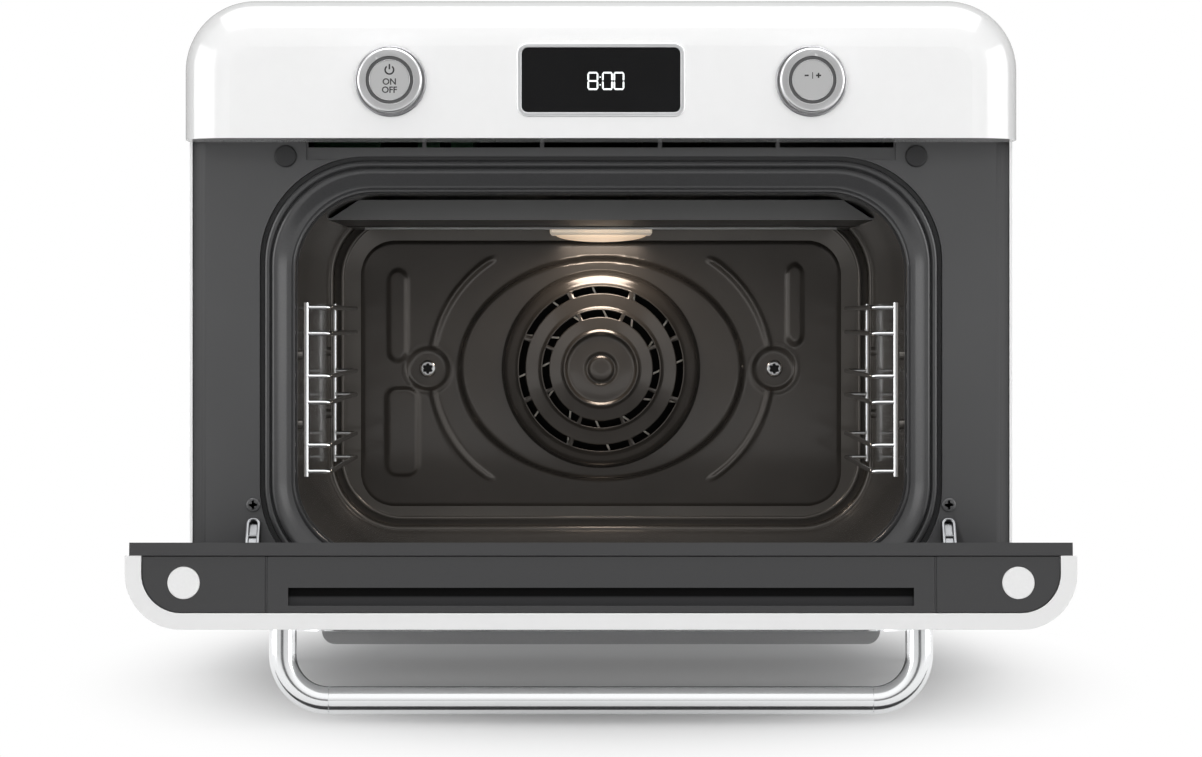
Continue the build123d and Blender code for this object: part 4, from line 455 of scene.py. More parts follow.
# Painted shade: the frame's powder coat painted darker on the floor of the gasket's channel
channel_painted_shade = powder_coat("gasket_channel_painted_shade", "#29292a", "#2f2f30", 0.55)
# Painted shade: the knob's metal painted darker in the ring groove round its disc
groove_painted_shade = powder_coat("knob_groove_painted_shade", "#4f4f50", "#585859", 0.4)
ring_metal = zinc_plate("turned_base_ring", "#8d8d8f", "#a3a3a5")
# Painted shade: the door's shell has the same white enamel as the hood, painted a darker white
door_enamel_painted_shade = stoved_white_enamel("stoved_door_enamel_painted_shade", "#e2e2e2", "#e5e5e5")
door_panel_coat = powder_coat("door_panel_coat", "#2c2c2d", "#323233", 0.4)
display_black = dark_display_glass()
door_glass = tinted_door_glass()
lamp_glow = lit_lamp_glass("lit_lamp_glass", 0.4, 0.16)
lamp_rim_glass = lit_lamp_glass("lit_lamp_rim_glass", 0.32, 0.22)
clock_light = lit_digit()
ink = printed_ink_and_recess_shade()
dark_abs = moulded_plastic("dark_moulded_abs", "#29292a", "#2f2f30", 0.42, 0.9)
# Painted light: the drip tray's grey ABS painted paler, as light in the shade under the open door
tray_abs_painted_light = moulded_plastic("tray_moulded_abs_painted_light", "#bcbcbd", "#c4c4c5", 0.5, 1.2)
pale_abs = moulded_plastic("pale_moulded_abs", "#dcdcdc", "#e4e4e4", 0.3, 1.5)
rubber = moulded_plastic("silicone_rubber", "#1c1c1d", "#232324", 0.6, 0.7)
lip_coat = powder_coat("grey_ceiling_coat", "#474747", "#4f4f4f", 0.32)
gasket_rubber = moulded_plastic("glossy_silicone_gasket", "#3c3c3d", "#454546", 0.2, 1.1)
# Painted highlight: the fold before the lamp painted a pale grey
fold_painted_highlight = powder_coat("fold_edge_painted_highlight", "#d2d2d2", "#dcdcdc", 0.35)
board_green = moulded_plastic("solder_mask", "#1d4a2b", "#2a5f39", 0.35, 3.0)
wool = mineral_wool()

finishes = {
    white_enamel: ["control_fascia", "outer_wrapper"],
    door_enamel_painted_shade: ["door_shell"],
    ring_metal: ["knob_rings"],
    door_panel_coat: ["door_inner_panel"],
    chrome: ["handle_bar", "handle_elbows", "window_trim"],
    satin_chrome: ["left_side_rack", "right_side_rack"],
    zinc: [
        "hinge_pins", "hinge_channels", "casing_screws", "baffle_screws", "handle_bolts",
        "left_encoder_shaft", "right_encoder_shaft", "fan_shaft", "inner_deck", "base_pan",
        "encoder_bodies",
    ],
    display_black: ["display_glass"],
    door_glass: ["door_inner_glass", "door_outer_glass"],
    lamp_glow: ["lamp_lens", "lamp_bulb"],
    dark_frame_coat: ["front_frame", "rear_cover"],
    dark_abs: ["door_end_cap", "tank_bay", "blower_housing", "blower_rotor", "cable_gland", "water_pump"],
    tray_abs_painted_light: ["drip_tray"],
    pale_abs: ["end_cap_plugs", "water_tank", "fill_flap"],
    rubber: ["door_gasket", "frame_bumpers", "feet", "water_hose"],
    oven_enamel: ["rear_baffle"],
    liner_enamel: ["cavity_liner"],
    lip_coat: ["ceiling_plate"],
    hot_steel: [
        "ring_heater", "grill_heater", "fan_motor", "steam_boiler", "steam_pipe",
    ],
    board_green: ["control_board", "power_board"],
    fan_with_painted_shade: ["convection_fan"],
    clip_steel: ["hinge_arms"],
    bezel_chrome: ["display_bezel"],
    wool: ["insulation_blanket"],
}
for side in ("left", "right"):
    disc_low, disc_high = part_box(f"{side}_knob_insert")
    disc_middle = (disc_low + disc_high) / 2
    finishes[turned_metal(f"{side}_turned_disc", disc_middle, "#ececec", "#f6f6f6")] = [f"{side}_knob_insert"]
    finishes[turned_metal(f"{side}_turned_knob", disc_middle, "#d2d2d4", "#ececec")] = [f"{side}_knob"]


def paint(piece, material):
    """Gives one finish to the whole piece."""
    piece.data.materials.clear()
    piece.data.materials.append(material)


for material, names in finishes.items():
    for name in names:
        paint(nodes[name], material)


def finish_piece(name, mesh, material, body, replaced=(), crease=40, inner_material=None):
    """Turns a bmesh into a finished piece: smooth over gentle turns, painted, and riding its body.

    Its faces with material index 1 are recesses, which take inner_material.
    """
    data = bpy.data.meshes.new(name)
    mesh.to_mesh(data)
    mesh.free()
    for face in data.polygons:
        face.use_smooth = True
    data.set_sharp_from_angle(angle=math.radians(crease))
    piece = bpy.data.objects.new(name, data)
    bpy.context.scene.collection.objects.link(piece)
    data.materials.append(material)
    if inner_material:
        data.materials.append(inner_material)
    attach(piece, body)
    if replaced:
        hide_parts(*replaced)
    return piece


def outward(mesh, merge=0.01):
    """Closes doubles and turns every face of a closed or single sheet the same way out."""
    bmesh.ops.remove_doubles(mesh, verts=mesh.verts, dist=merge * MM)
    bmesh.ops.recalc_face_normals(mesh, faces=mesh.faces)


def only_corners(geometry):
    """The vertices among an operator's results."""
    return [part for part in geometry if isinstance(part, bmesh.types.BMVert)]


def edge_loop(mesh, points):
    """A closed ring of edges through points, for bridging."""
    corners = [mesh.verts.new(point) for point in points]
    return [mesh.edges.new((corners[at - 1], corners[at])) for at in range(len(corners))]


def fill_between(mesh, loops):
    """Skins each ring of edges to the next."""
    for near, far in zip(loops, loops[1:]):
        bmesh.ops.bridge_loops(mesh, edges=near + far)


def star_points(centre, y, lobes, tip, notch, spread):
    """The outline of a screw's recess: lobes of half-angle spread, with notches between them."""
    points = []
    for lobe in range(lobes):
        middle = lobe * 2 * math.pi / lobes + math.pi / 2
        for turn, reach in ((-spread, tip), (spread, tip), (math.pi / lobes, notch)):
            at = middle + turn
            points.append((centre[0] + reach * math.cos(at), y, centre[1] + reach * math.sin(at)))
    return points


def ring_points(centre, y, radius, count):
    """A circle of points that faces the front."""
    return [
        (
            centre[0] + radius * math.cos(2 * math.pi * at / count + math.pi / 2),
            y,
            centre[1] + radius * math.sin(2 * math.pi * at / count + math.pi / 2),
        )
        for at in range(count)
    ]


# The clock: seven-segment digits behind the display glass, drawn on its face
digit_height = 10.7 * MM
digit_width = 6.4 * MM
segment_width = 0.95 * MM
segment_taper = 0.42 * segment_width
segment_gap = 1.15 * segment_width
segment_proud = 0.08 * MM
digit_centres = (-4.8 * MM, 3.8 * MM, 10.6 * MM)
colon_place = -0.5 * MM
colon_rise = 2.3 * MM
clock_drop = 0.6 * MM
clock_middle = (glass_low.z + glass_high.z) / 2 - clock_drop
lit_segments = {"8": "abcdefg", "0": "abcdef"}


def add_segment(mesh, x, z, length, upright):
    """One bar of a digit with its ends cut to points."""
    bar = bmesh.ops.create_cube(mesh, size=1.0)["verts"]
    size = (segment_width, segment_proud, length) if upright else (length, segment_proud, segment_width)
    bmesh.ops.scale(mesh, vec=size, verts=bar)
    bmesh.ops.translate(mesh, vec=(x, glass_low.y - segment_proud / 2, z), verts=bar)
    ends = {edge for corner in bar for edge in corner.link_edges}
    ends = [edge for edge in ends if abs(edge.verts[0].co.y - edge.verts[1].co.y) > segment_proud / 2]
    bmesh.ops.bevel(
        mesh, geom=ends, offset=segment_taper, affect="EDGES", segments=1, profile=0.5, material=-1
    )


def make_clock():
    """The digits of the clock, 8:00, as the display shows them."""
    mesh = bmesh.new()
    side = (digit_width - segment_width) / 2
    rise = (digit_height - segment_width) / 2
    level_length = digit_width - segment_gap
    upright_length = rise - segment_gap / 2
    for digit, x in zip("800", digit_centres):
        places = {
            "a": (x, clock_middle + rise, level_length, False),
            "g": (x, clock_middle, level_length, False),
            "d": (x, clock_middle - rise, level_length, False),
            "f": (x - side, clock_middle + rise / 2, upright_length, True),
            "b": (x + side, clock_middle + rise / 2, upright_length, True),
            "e": (x - side, clock_middle - rise / 2, upright_length, True),
            "c": (x + side, clock_middle - rise / 2, upright_length, True),
        }
        for segment in lit_segments[digit]:
            add_segment(mesh, *places[segment])
    for rise_of_dot in (colon_rise, -colon_rise):
        add_segment(mesh, colon_place, clock_middle + rise_of_dot, segment_width, True)
    return finish_piece("clock_digits", mesh, clock_light, "root")


make_clock()

# Marks printed on the knobs: a power sign with ON and OFF on the left one, minus and plus on the right one
ink_thickness = 0.06 * MM
sign_radius = 2.5 * MM
sign_line = 0.9 * MM
sign_rise = 5.9 * MM
sign_opening = math.radians(38)
sign_steps = 28
sign_bar_length = 1.25 * sign_radius
sign_bar_rise = 0.75 * sign_radius
word_height = 3.8 * MM
face_size = 1.35 * word_height
letter_weight = 0.09 * MM
word_rises = (-1.2 * MM, -6.0 * MM)
plus_length = 3.0 * MM
minus_length = 0.8 * plus_length
divider_length = 1.3 * plus_length
divider_width = 0.5 * sign_line
plus_offset = 3.5 * MM
plus_rise = 2.6 * MM
crossing_lift = 0.001 * MM


def add_bar(mesh, x, y, z, wide, high):
    """A flat printed bar whose back lies on the knob's disc."""
    bar = bmesh.ops.create_cube(mesh, size=1.0)["verts"]
    bmesh.ops.scale(mesh, vec=(wide, ink_thickness, high), verts=bar)
    bmesh.ops.translate(mesh, vec=(x, y - ink_thickness / 2, z), verts=bar)


def add_word(mesh, word, x, y, z):
    """A printed word in the plain built-in face, made a mesh and stood upright on the disc."""
    letters = bpy.data.curves.new("printed_word", "FONT")
    letters.body = word
    letters.size = face_size
    letters.align_x = "CENTER"
    letters.align_y = "CENTER"
    letters.extrude = ink_thickness / 2
    letters.offset = letter_weight
    holder = bpy.data.objects.new("printed_word", letters)
    flat = bpy.data.meshes.new_from_object(holder)
    bpy.data.objects.remove(holder)
    before = set(mesh.verts)
    mesh.from_mesh(flat)
    bpy.data.meshes.remove(flat)
    added = [corner for corner in mesh.verts if corner not in before]
    bmesh.ops.rotate(mesh, matrix=Matrix.Rotation(math.radians(90), 3, "X"), verts=added)
    bmesh.ops.translate(mesh, vec=(x, y - ink_thickness / 2, z), verts=added)


def make_left_marks():
    """Power sign over ON and OFF."""
    mesh = bmesh.new()
    middle = (left_disc_low + left_disc_high) / 2
    face = left_disc_low.y
    sign_middle = Vector((middle.x, face, middle.z + sign_rise))
    towards_start = Vector((math.sin(sign_opening), 0, math.cos(sign_opening)))
    start = mesh.verts.new(sign_middle + towards_start * (sign_radius - sign_line / 2))
    end = mesh.verts.new(sign_middle + towards_start * (sign_radius + sign_line / 2))
    edge = mesh.edges.new((start, end))
    bmesh.ops.spin(
        mesh,
        geom=[start, end, edge],
        cent=sign_middle,
        axis=(0, 1, 0),
        angle=2 * math.pi - 2 * sign_opening,
        steps=sign_steps,
    )
    walls = bmesh.ops.extrude_face_region(mesh, geom=mesh.faces[:])["geom"]
    bmesh.ops.translate(mesh, vec=(0, -ink_thickness, 0), verts=only_corners(walls))
    add_bar(mesh, middle.x, face, sign_middle.z + sign_bar_rise, sign_line, sign_bar_length)
    for word, rise in zip(("ON", "OFF"), word_rises):
        add_word(mesh, word, middle.x, face, middle.z + rise)
    outward(mesh)
    return finish_piece("left_knob_marks", mesh, ink, "left_knob")


def make_right_marks():
    """Minus, a divider and plus."""
    mesh = bmesh.new()
    middle = (right_disc_low + right_disc_high) / 2
    face = right_disc_low.y
    rise = middle.z + plus_rise
    add_bar(mesh, middle.x - plus_offset, face, rise, minus_length, sign_line)
    add_bar(mesh, middle.x, face, rise, divider_width, divider_length)
    add_bar(mesh, middle.x + plus_offset, face, rise, plus_length, sign_line)
    add_bar(mesh, middle.x + plus_offset, face - crossing_lift, rise, sign_line, plus_length)
    outward(mesh)
    return finish_piece("right_knob_marks", mesh, ink, "right_knob")


make_left_marks()
make_right_marks()

# The pressed rear panel of the cavity with its stepped fan guard
fan_axis = (fan_centre.x, fan_centre.z)
panel_corner = 24 * MM
panel_edge_roll = 3.0 * MM
panel_edge_drop = 1.4 * MM
oval_half_width = 97.5 * MM
oval_half_height = 76 * MM
oval_step = 4.0 * MM
oval_shoulder = 3.2 * MM
guard_radius = 67.6 * MM
guard_overlap = 3 * MM
panel_pitch = 1.5 * MM
panel_inset = 1.0 * MM
panel_face = baffle_high.y - panel_inset
panel_wall = 0.8 * MM
dish_offset = 119.8 * MM
dish_radius = 15 * MM
dish_drop = 1.4 * MM
dish_slope = 2.2 * MM
dish_margin = 3 * MM
dish_rim_width = 1.4 * MM
dish_rim_rise = 0.9 * MM
rib_half_width = 2.6 * MM
rib_rise = 1.5 * MM
rib_fade = 4 * MM
pad_rise = 1.6 * MM
pad_slope = 2.4 * MM
pad_round = 7.0 * MM

# Places on the rear panel in the photograph's pixels: three points of the left rib, two corners of each pad
wall_px_per_mm = 1.4445
rib_top_px = (496, 256)
rib_side_px = (431, 371)
rib_foot_px = (496, 482)
upper_left_pad_px = ((389, 361), (407, 270))
lower_left_pad_px = ((387, 475), (418, 388))
right_pad_px = ((787, 345), (802, 264))


def eased(share):
    """A smooth step from 0 to 1."""
    share = min(max(share, 0.0), 1.0)
    return share * share * (3 - 2 * share)


def from_photo(x_px, y_px):
    """A point of the rear panel from its place in the photograph, as X and Z."""
    scale = 1 / wall_px_per_mm * MM
    return (x_px - image_width_px / 2) * scale, camera_height - (y_px - horizon_px) * scale


def from_fan(point):
    """How far a point lies from the fan's axis."""
    return math.hypot(point.x - fan_axis[0], point.z - fan_axis[1])


def circle_through(one, two, three):
    """Centre and radius of the circle through three points."""
    (ax, az), (bx, bz), (cx, cz) = one, two, three
    doubled = 2 * (ax * (bz - cz) + bx * (cz - az) + cx * (az - bz))
    a2, b2, c2 = ax * ax + az * az, bx * bx + bz * bz, cx * cx + cz * cz
    x = (a2 * (bz - cz) + b2 * (cz - az) + c2 * (az - bz)) / doubled
    z = (a2 * (cx - bx) + b2 * (ax - cx) + c2 * (bx - ax)) / doubled
    return x, z, math.hypot(ax - x, az - z)


rib_top = from_photo(*rib_top_px)
rib_foot = from_photo(*rib_foot_px)
rib_x, rib_z, rib_radius = circle_through(rib_top, from_photo(*rib_side_px), rib_foot)
pads = [
    (*from_photo(*low_px), *from_photo(*high_px))
    for low_px, high_px in (upper_left_pad_px, lower_left_pad_px, right_pad_px)
]


def pressed_height(x, z):
    """How far the panel stands forward of its plane at X, Z: oval, ribs, pads, dishes and rolled edge."""
    height = 0.0
    across, up = x - fan_axis[0], z - fan_axis[1]
    reach = math.hypot(across / oval_half_width, up / oval_half_height)
    away = (reach - 1) * oval_half_height
    height += oval_step * (1 - eased(away / oval_shoulder + 0.5))
    side = abs(x)
    if rib_foot[1] < z < rib_top[1] and side > abs(rib_top[0]):
        off = abs(math.hypot(-side - rib_x, z - rib_z) - rib_radius)
        fade = min(rib_top[1] - z, z - rib_foot[1]) / rib_fade
        height += rib_rise * (1 - eased(off / rib_half_width)) * eased(fade)
    from_dish = math.hypot(side - dish_offset, z - fan_axis[1])
    for low_x, low_z, high_x, high_z in pads:
        middle_x, middle_z = (low_x + high_x) / 2, (low_z + high_z) / 2
        dx = abs(x - middle_x) - (abs(high_x - low_x) / 2 - pad_round)
        dz = abs(z - middle_z) - (abs(high_z - low_z) / 2 - pad_round)
        rim = math.hypot(max(dx, 0), max(dz, 0)) + min(max(dx, dz), 0) - pad_round
        rim = max(rim, dish_radius + dish_margin - from_dish)
        height += pad_rise * (1 - eased(rim / pad_slope + 0.5))
    if from_dish < dish_radius + dish_margin:
        inside = 1 - eased((from_dish - dish_radius) / dish_slope + 0.5)
        ring = math.exp(-(((from_dish - dish_radius) / dish_rim_width) ** 2))
        height = height * (1 - inside) - dish_drop * inside + dish_rim_rise * ring
    return height


def make_rear_panel():
    """One enamelled pressing: a grid that the pressed forms lift, with a hole left for the stepped guard over
    the fan.
    """
    mesh = bmesh.new()
    half = (baffle_high.x - baffle_low.x) / 2
    tall = (baffle_high.z - baffle_low.z) / 2
    middle_z = (baffle_high.z + baffle_low.z) / 2
    columns, rows = round(2 * half / panel_pitch), round(2 * tall / panel_pitch)
    bmesh.ops.create_grid(mesh, x_segments=columns, y_segments=rows, size=1.0)
    for corner in mesh.verts:
        x, z = corner.co.x * half, corner.co.y * tall
        past_x, past_z = abs(x) - (half - panel_corner), abs(z) - (tall - panel_corner)
        inset = min(half - abs(x), tall - abs(z))
        if past_x > 0 and past_z > 0:
            out = math.hypot(past_x, past_z)
            inset = panel_corner - out
            if inset < 0:
                x -= math.copysign(past_x * (1 - panel_corner / out), x)
                z -= math.copysign(past_z * (1 - panel_corner / out), z)
                inset = 0
        roll = (1 - eased(inset / panel_edge_roll)) * panel_edge_drop
        z += middle_z
        corner.co = (x, panel_face - pressed_height(x, z) + roll, z)
    hole = [face for face in mesh.faces if from_fan(face.calc_center_median()) < guard_radius - guard_overlap]
    bmesh.ops.delete(mesh, geom=hole, context="FACES")
    outward(mesh, 0.05)
    return mesh


# Radius and height of the guard's steps, in millimetres, from its foot to the middle
guard_steps = (
    (69.0, 3.4), (68.2, 5.0), (67.2, 7.4), (65.4, 9.4), (63.0, 10.4), (60.4, 10.9), (58.6, 11.6),
    (57.5, 12.7), (56.8, 13.0),
    (52.2, 13.0), (51.4, 13.2),
    (43.6, 13.6), (42.4, 14.0), (41.4, 15.2), (40.6, 15.6),
    (35.8, 15.6), (35.0, 15.8),
    (28.2, 16.2), (26.8, 16.6), (25.9, 17.6), (25.2, 17.9), (24.4, 17.4), (23.6, 16.2), (22.4, 15.6),
    (21.0, 15.7),
    (12.6, 16.4), (11.2, 16.3), (10.3, 15.3), (9.6, 15.0), (8.8, 15.5), (7.9, 16.4), (6.8, 16.7),
    (3.0, 16.7),
)
guard_hub_limit = 4 * MM
guard_turns = 192
slot_count = 8
slot_bands = ((56.8, 52.2), (40.6, 35.8))
slot_bridge = 3.6


def make_guard():
    """The fan guard: a stepped cone spun from its profile, with two rings of slots cut out of its flats."""
    mesh = bmesh.new()
    corners = [
        mesh.verts.new((fan_axis[0] + radius * MM, panel_face - height * MM, fan_axis[1]))
        for radius, height in guard_steps
    ]
    edges = [mesh.edges.new(pair) for pair in zip(corners, corners[1:])]
    bmesh.ops.spin(
        mesh,
        geom=corners + edges,
        cent=(fan_axis[0], panel_face, fan_axis[1]),
        axis=(0, 1, 0),
        angle=2 * math.pi,
        steps=guard_turns,
        use_merge=True,
    )
    cut = []
    for face in mesh.faces:
        middle = face.calc_center_median()
        across, up = middle.x - fan_axis[0], middle.z - fan_axis[1]
        radius = math.hypot(across, up) / MM
        for outer, inner in slot_bands:
            if inner < radius < outer:
                share = math.atan2(up, across) / (2 * math.pi) * slot_count + 0.5
                off = abs(share - round(share)) * 2 * math.pi / slot_count * radius
                if off > slot_bridge / 2:
                    cut.append(face)
    bmesh.ops.delete(mesh, geom=cut, context="FACES")
    rim = [
        edge for edge in mesh.edges
        if edge.is_boundary and all(from_fan(corner.co) < guard_hub_limit for corner in edge.verts)
    ]
    bmesh.ops.edgeloop_fill(mesh, edges=rim)
    outward(mesh)
    return mesh


def face_front(mesh):
    """Turns a single sheet's faces to the front."""
    lean = sum(face.normal.y * face.calc_area() for face in mesh.faces)
    if lean > 0:
        bmesh.ops.reverse_faces(mesh, faces=mesh.faces)


def join_meshes(meshes):
    """One bmesh that holds several."""
    joined = bmesh.new()
    for part in meshes:
        part.normal_update()
        face_front(part)
        held = bpy.data.meshes.new("part")
        part.to_mesh(held)
        part.free()
        joined.from_mesh(held)
        bpy.data.meshes.remove(held)
    return joined


rear_panel = finish_piece(
    "pressed_rear_panel", join_meshes([make_rear_panel(), make_guard()]), oven_enamel, "root",
    ["rear_baffle"], crease=75,
)
wall = rear_panel.modifiers.new("sheet", "SOLIDIFY")
wall.thickness = panel_wall
wall.offset = -1.0

# Ring-shaped pieces that follow the rounded opening of the cavity
liner_wall = 1.2 * MM
opening_half = (liner_high.x - liner_low.x) / 2 - liner_wall
opening_low = liner_low.z + liner_wall
opening_high = liner_high.z - liner_wall
opening_corner = 48 * MM
channel_corner = 64 * MM
channel_reach = 22.2 * MM
corner_growth = (channel_corner - opening_corner) / channel_reach
corner_steps = 24
panel_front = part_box("front_frame")[0].y


def opening_points(offset, y, growth=corner_growth):
    """The rounded outline of the opening, offset outwards, at depth y."""
    radius = opening_corner + growth * offset
    half = opening_half + offset
    low, high = opening_low - offset, opening_high + offset
    points = []
    for centre_x, centre_z, start in (
        (half - radius, high - radius, 0), (radius - half, high - radius, 90),
        (radius - half, low + radius, 180), (half - radius, low + radius, 270),
    ):
        for step in range(corner_steps + 1):
            turn = math.radians(start + 90 * step / corner_steps)
            points.append((centre_x + radius * math.cos(turn), y, centre_z + radius * math.sin(turn)))
    return points


def ring_piece(name, profile, front, material, replaced=(), growth=corner_growth):
    """A closed ring swept round the opening; the profile holds offset and depth in millimetres."""
    mesh = bmesh.new()
    loops = [
        edge_loop(mesh, opening_points(offset * MM, front + depth * MM, growth)) for offset, depth in profile
    ]
    fill_between(mesh, loops + loops[:1])
    outward(mesh)
    return finish_piece(name, mesh, material, "root", replaced, crease=50)


# The gasket's section, from its outer foot over both lips to its inner foot: offset and depth in millimetres
gasket_profile = (
    (20.0, 5.8), (19.7, 2.6), (19.2, 0.6), (18.4, -0.4), (17.4, -0.7), (16.4, -0.4), (15.9, 0.5), (15.5, 1.5),
    (15.1, 0.9), (14.6, -1.2), (13.8, -2.2), (12.8, -2.4), (11.2, -1.7), (9.0, -0.4), (6.6, 1.0), (4.6, 2.1),
    (3.4, 2.4), (2.8, 1.8), (2.3, 0.7), (1.6, 0.2), (0.9, 0.4), (0.5, 1.4), (0.6, 3.4), (1.2, 5.8),
)
ring_piece("door_gasket_lips", gasket_profile, panel_front, gasket_rubber, ["door_gasket"])

# Two beads pressed into the cavity's floor, walls and ceiling, where the drawn box meets its rear wall
bead_rise_mm = 1.4
bead_half_width_mm = 1.6
bead_sink_mm = 0.4
rear_step_mm = 5.4
bead_profile = [
    (bead_rise_mm * math.cos(turn) - bead_sink_mm, bead_half_width_mm * math.sin(turn))
    for turn in (math.radians(30 * at) for at in range(12))
]
rear_bead_profile = [(offset - rear_step_mm, depth) for offset, depth in bead_profile]
near_bead_y = 231.6 * MM
rear_bead_y = 263.0 * MM
ring_piece("cavity_bead", bead_profile, near_bead_y, liner_enamel, growth=1.0)
ring_piece("cavity_rear_bead", rear_bead_profile, rear_bead_y, liner_enamel, growth=1.0)

# Folds along the underside of the ceiling plate: an edge before the lamp, painted pale as a highlight, and a
# dark one further forward
lens_low, lens_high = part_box("lamp_lens")
lamp_fold_gap = 1.5 * MM
lamp_fold_half = 159 * MM
lamp_fold_thick = 1.4 * MM
front_fold_y = 164 * MM
front_fold_half = 176 * MM
front_fold_thick = 0.7 * MM
fold_round_share = 0.35


def make_fold(name, y, half_length, thick, material):
    """A rounded folded edge under the ceiling plate."""
    mesh = bmesh.new()
    bar = bmesh.ops.create_cube(mesh, size=1.0)["verts"]
    bmesh.ops.scale(mesh, vec=(2 * half_length, 2 * thick, thick), verts=bar)
    bmesh.ops.translate(mesh, vec=(0, y, lens_high.z - thick / 2), verts=bar)
    rounding = thick * fold_round_share
    bmesh.ops.bevel(
        mesh, geom=mesh.edges[:], offset=rounding, affect="EDGES", segments=3, profile=0.5, material=-1
    )
    return finish_piece(name, mesh, material, "root")


make_fold("ceiling_lamp_fold", lens_low.y - lamp_fold_gap, lamp_fold_half, lamp_fold_thick, fold_painted_highlight)
make_fold("ceiling_front_fold", front_fold_y, front_fold_half, front_fold_thick, oven_enamel)

# The lamp: a moulded glass with a faceted rim and a shallow bowl under it
lamp_middle = (lens_low + lens_high) / 2
lamp_rim_height = 4.8 * MM
lamp_rim_round = 1.6 * MM
rim_window_inset = 0.7 * MM
rim_window_depth = 0.5 * MM
bowl_depth = 5.0 * MM
bowl_half_length = 31 * MM
bowl_half_depth = 15 * MM
bowl_overlap = 0.4 * MM
bowl_cut = 0.01


def make_lamp_rim():
    """The moulded rim: a bevelled block with a stepped-in window in its front."""
    mesh = bmesh.new()
    block = bmesh.ops.create_cube(mesh, size=1.0)["verts"]
    size = (lens_high.x - lens_low.x, lens_high.y - lens_low.y, lamp_rim_height)
    bmesh.ops.scale(mesh, vec=size, verts=block)
    middle_z = lens_high.z - lamp_rim_height / 2
    bmesh.ops.translate(mesh, vec=(0, lamp_middle.y, middle_z), verts=block)
    lower = [edge for edge in mesh.edges if all(corner.co.z < middle_z for corner in edge.verts)]
    upright = [
        edge for edge in mesh.edges
        if abs(edge.verts[0].co.z - edge.verts[1].co.z) > lamp_rim_height / 2
    ]
    rounded = lower + upright
    bmesh.ops.bevel(
        mesh, geom=rounded, offset=lamp_rim_round, affect="EDGES", segments=4, profile=0.5, material=-1
    )
    front = min(mesh.faces, key=lambda face: face.calc_center_median().y)
    bmesh.ops.inset_individual(mesh, faces=[front], thickness=rim_window_inset, depth=-rim_window_depth)
    return finish_piece("lamp_rim", mesh, lamp_rim_glass, "root", ["lamp_lens"], crease=30)


def make_lamp_bowl():
    """The bowl of the lamp glass, bulging down under its rim: the lower half of a ball, drawn out."""
    mesh = bmesh.new()
    bmesh.ops.create_uvsphere(mesh, u_segments=48, v_segments=24, radius=1.0)
    rim_z = lens_high.z - lamp_rim_height + bowl_overlap
    above = [corner for corner in mesh.verts if corner.co.z > bowl_cut]
    bmesh.ops.delete(mesh, geom=above, context="VERTS")
    bmesh.ops.scale(mesh, vec=(bowl_half_length, bowl_half_depth, bowl_depth), verts=mesh.verts)
    bmesh.ops.translate(mesh, vec=(0, lamp_middle.y, rim_z), verts=mesh.verts)
    mouth = [edge for edge in mesh.edges if edge.is_boundary]
    bmesh.ops.edgeloop_fill(mesh, edges=mouth)
    outward(mesh)
    return finish_piece("lamp_bowl", mesh, lamp_glow, "root", crease=60)


make_lamp_rim()
make_lamp_bowl()

# Screw heads: six-lobed on the rear panel, crossed on the front frame
head_sides = 36
# A head's turned side, from its back to its face, as shares of its radius and of its thickness
head_profile = ((1.0, 1.0), (1.0, 0.65), (0.96, 0.3), (0.86, 0.08), (0.72, 0.0))
recess_depth = 0.7
recess_taper = 0.86
recess_edge = 0.05


def make_screw_head(name, centres, face_y, back_y, radius, lobes, tip, notch, spread, material, replaced=()):
    """Round screw heads with an eased rim and a driver recess painted black as shade: one head, then a copy
    at each place.
    """
    thick = back_y - face_y
    head = bmesh.new()
    loops = [
        edge_loop(head, ring_points((0, 0), face_y + thick * depth, radius * reach, head_sides))
        for reach, depth in head_profile
    ]
    mouth = edge_loop(head, star_points((0, 0), face_y, lobes, tip, notch, spread))
    floor_y = face_y + thick * recess_depth
    floor_ring = edge_loop(
        head, star_points((0, 0), floor_y, lobes, tip * recess_taper, notch * recess_taper, spread)
    )
    fill_between(head, loops + [mouth, floor_ring])
    bmesh.ops.edgeloop_fill(head, edges=floor_ring)
    bmesh.ops.edgeloop_fill(head, edges=loops[0])
    outward(head)
    first = head.verts[:] + head.edges[:] + head.faces[:]
    # The recess's walls and floor take the black ink as painted shade
    for face in head.faces:
        middle = face.calc_center_median()
        if math.hypot(middle.x, middle.z) < tip and middle.y > face_y + recess_edge * thick:
            face.material_index = 1
    for x, z in centres[1:]:
        copied = bmesh.ops.duplicate(head, geom=first)["geom"]
        bmesh.ops.translate(head, vec=(x, 0, z), verts=only_corners(copied))
    x, z = centres[0]
    bmesh.ops.translate(head, vec=(x, 0, z), verts=only_corners(first))
    return finish_piece(name, head, material, "root", replaced, 35, ink)


make_screw_head(
    "baffle_screw_heads",
    [(-dish_offset, fan_axis[1]), (dish_offset, fan_axis[1])],
    face_y=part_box("baffle_screws")[0].y,
    back_y=panel_face + dish_drop,
    radius=6.0 * MM,
    lobes=6,
    tip=3.7 * MM,
    notch=2.6 * MM,
    spread=math.radians(11),
    material=screw_zinc,
    replaced=["baffle_screws"],
)

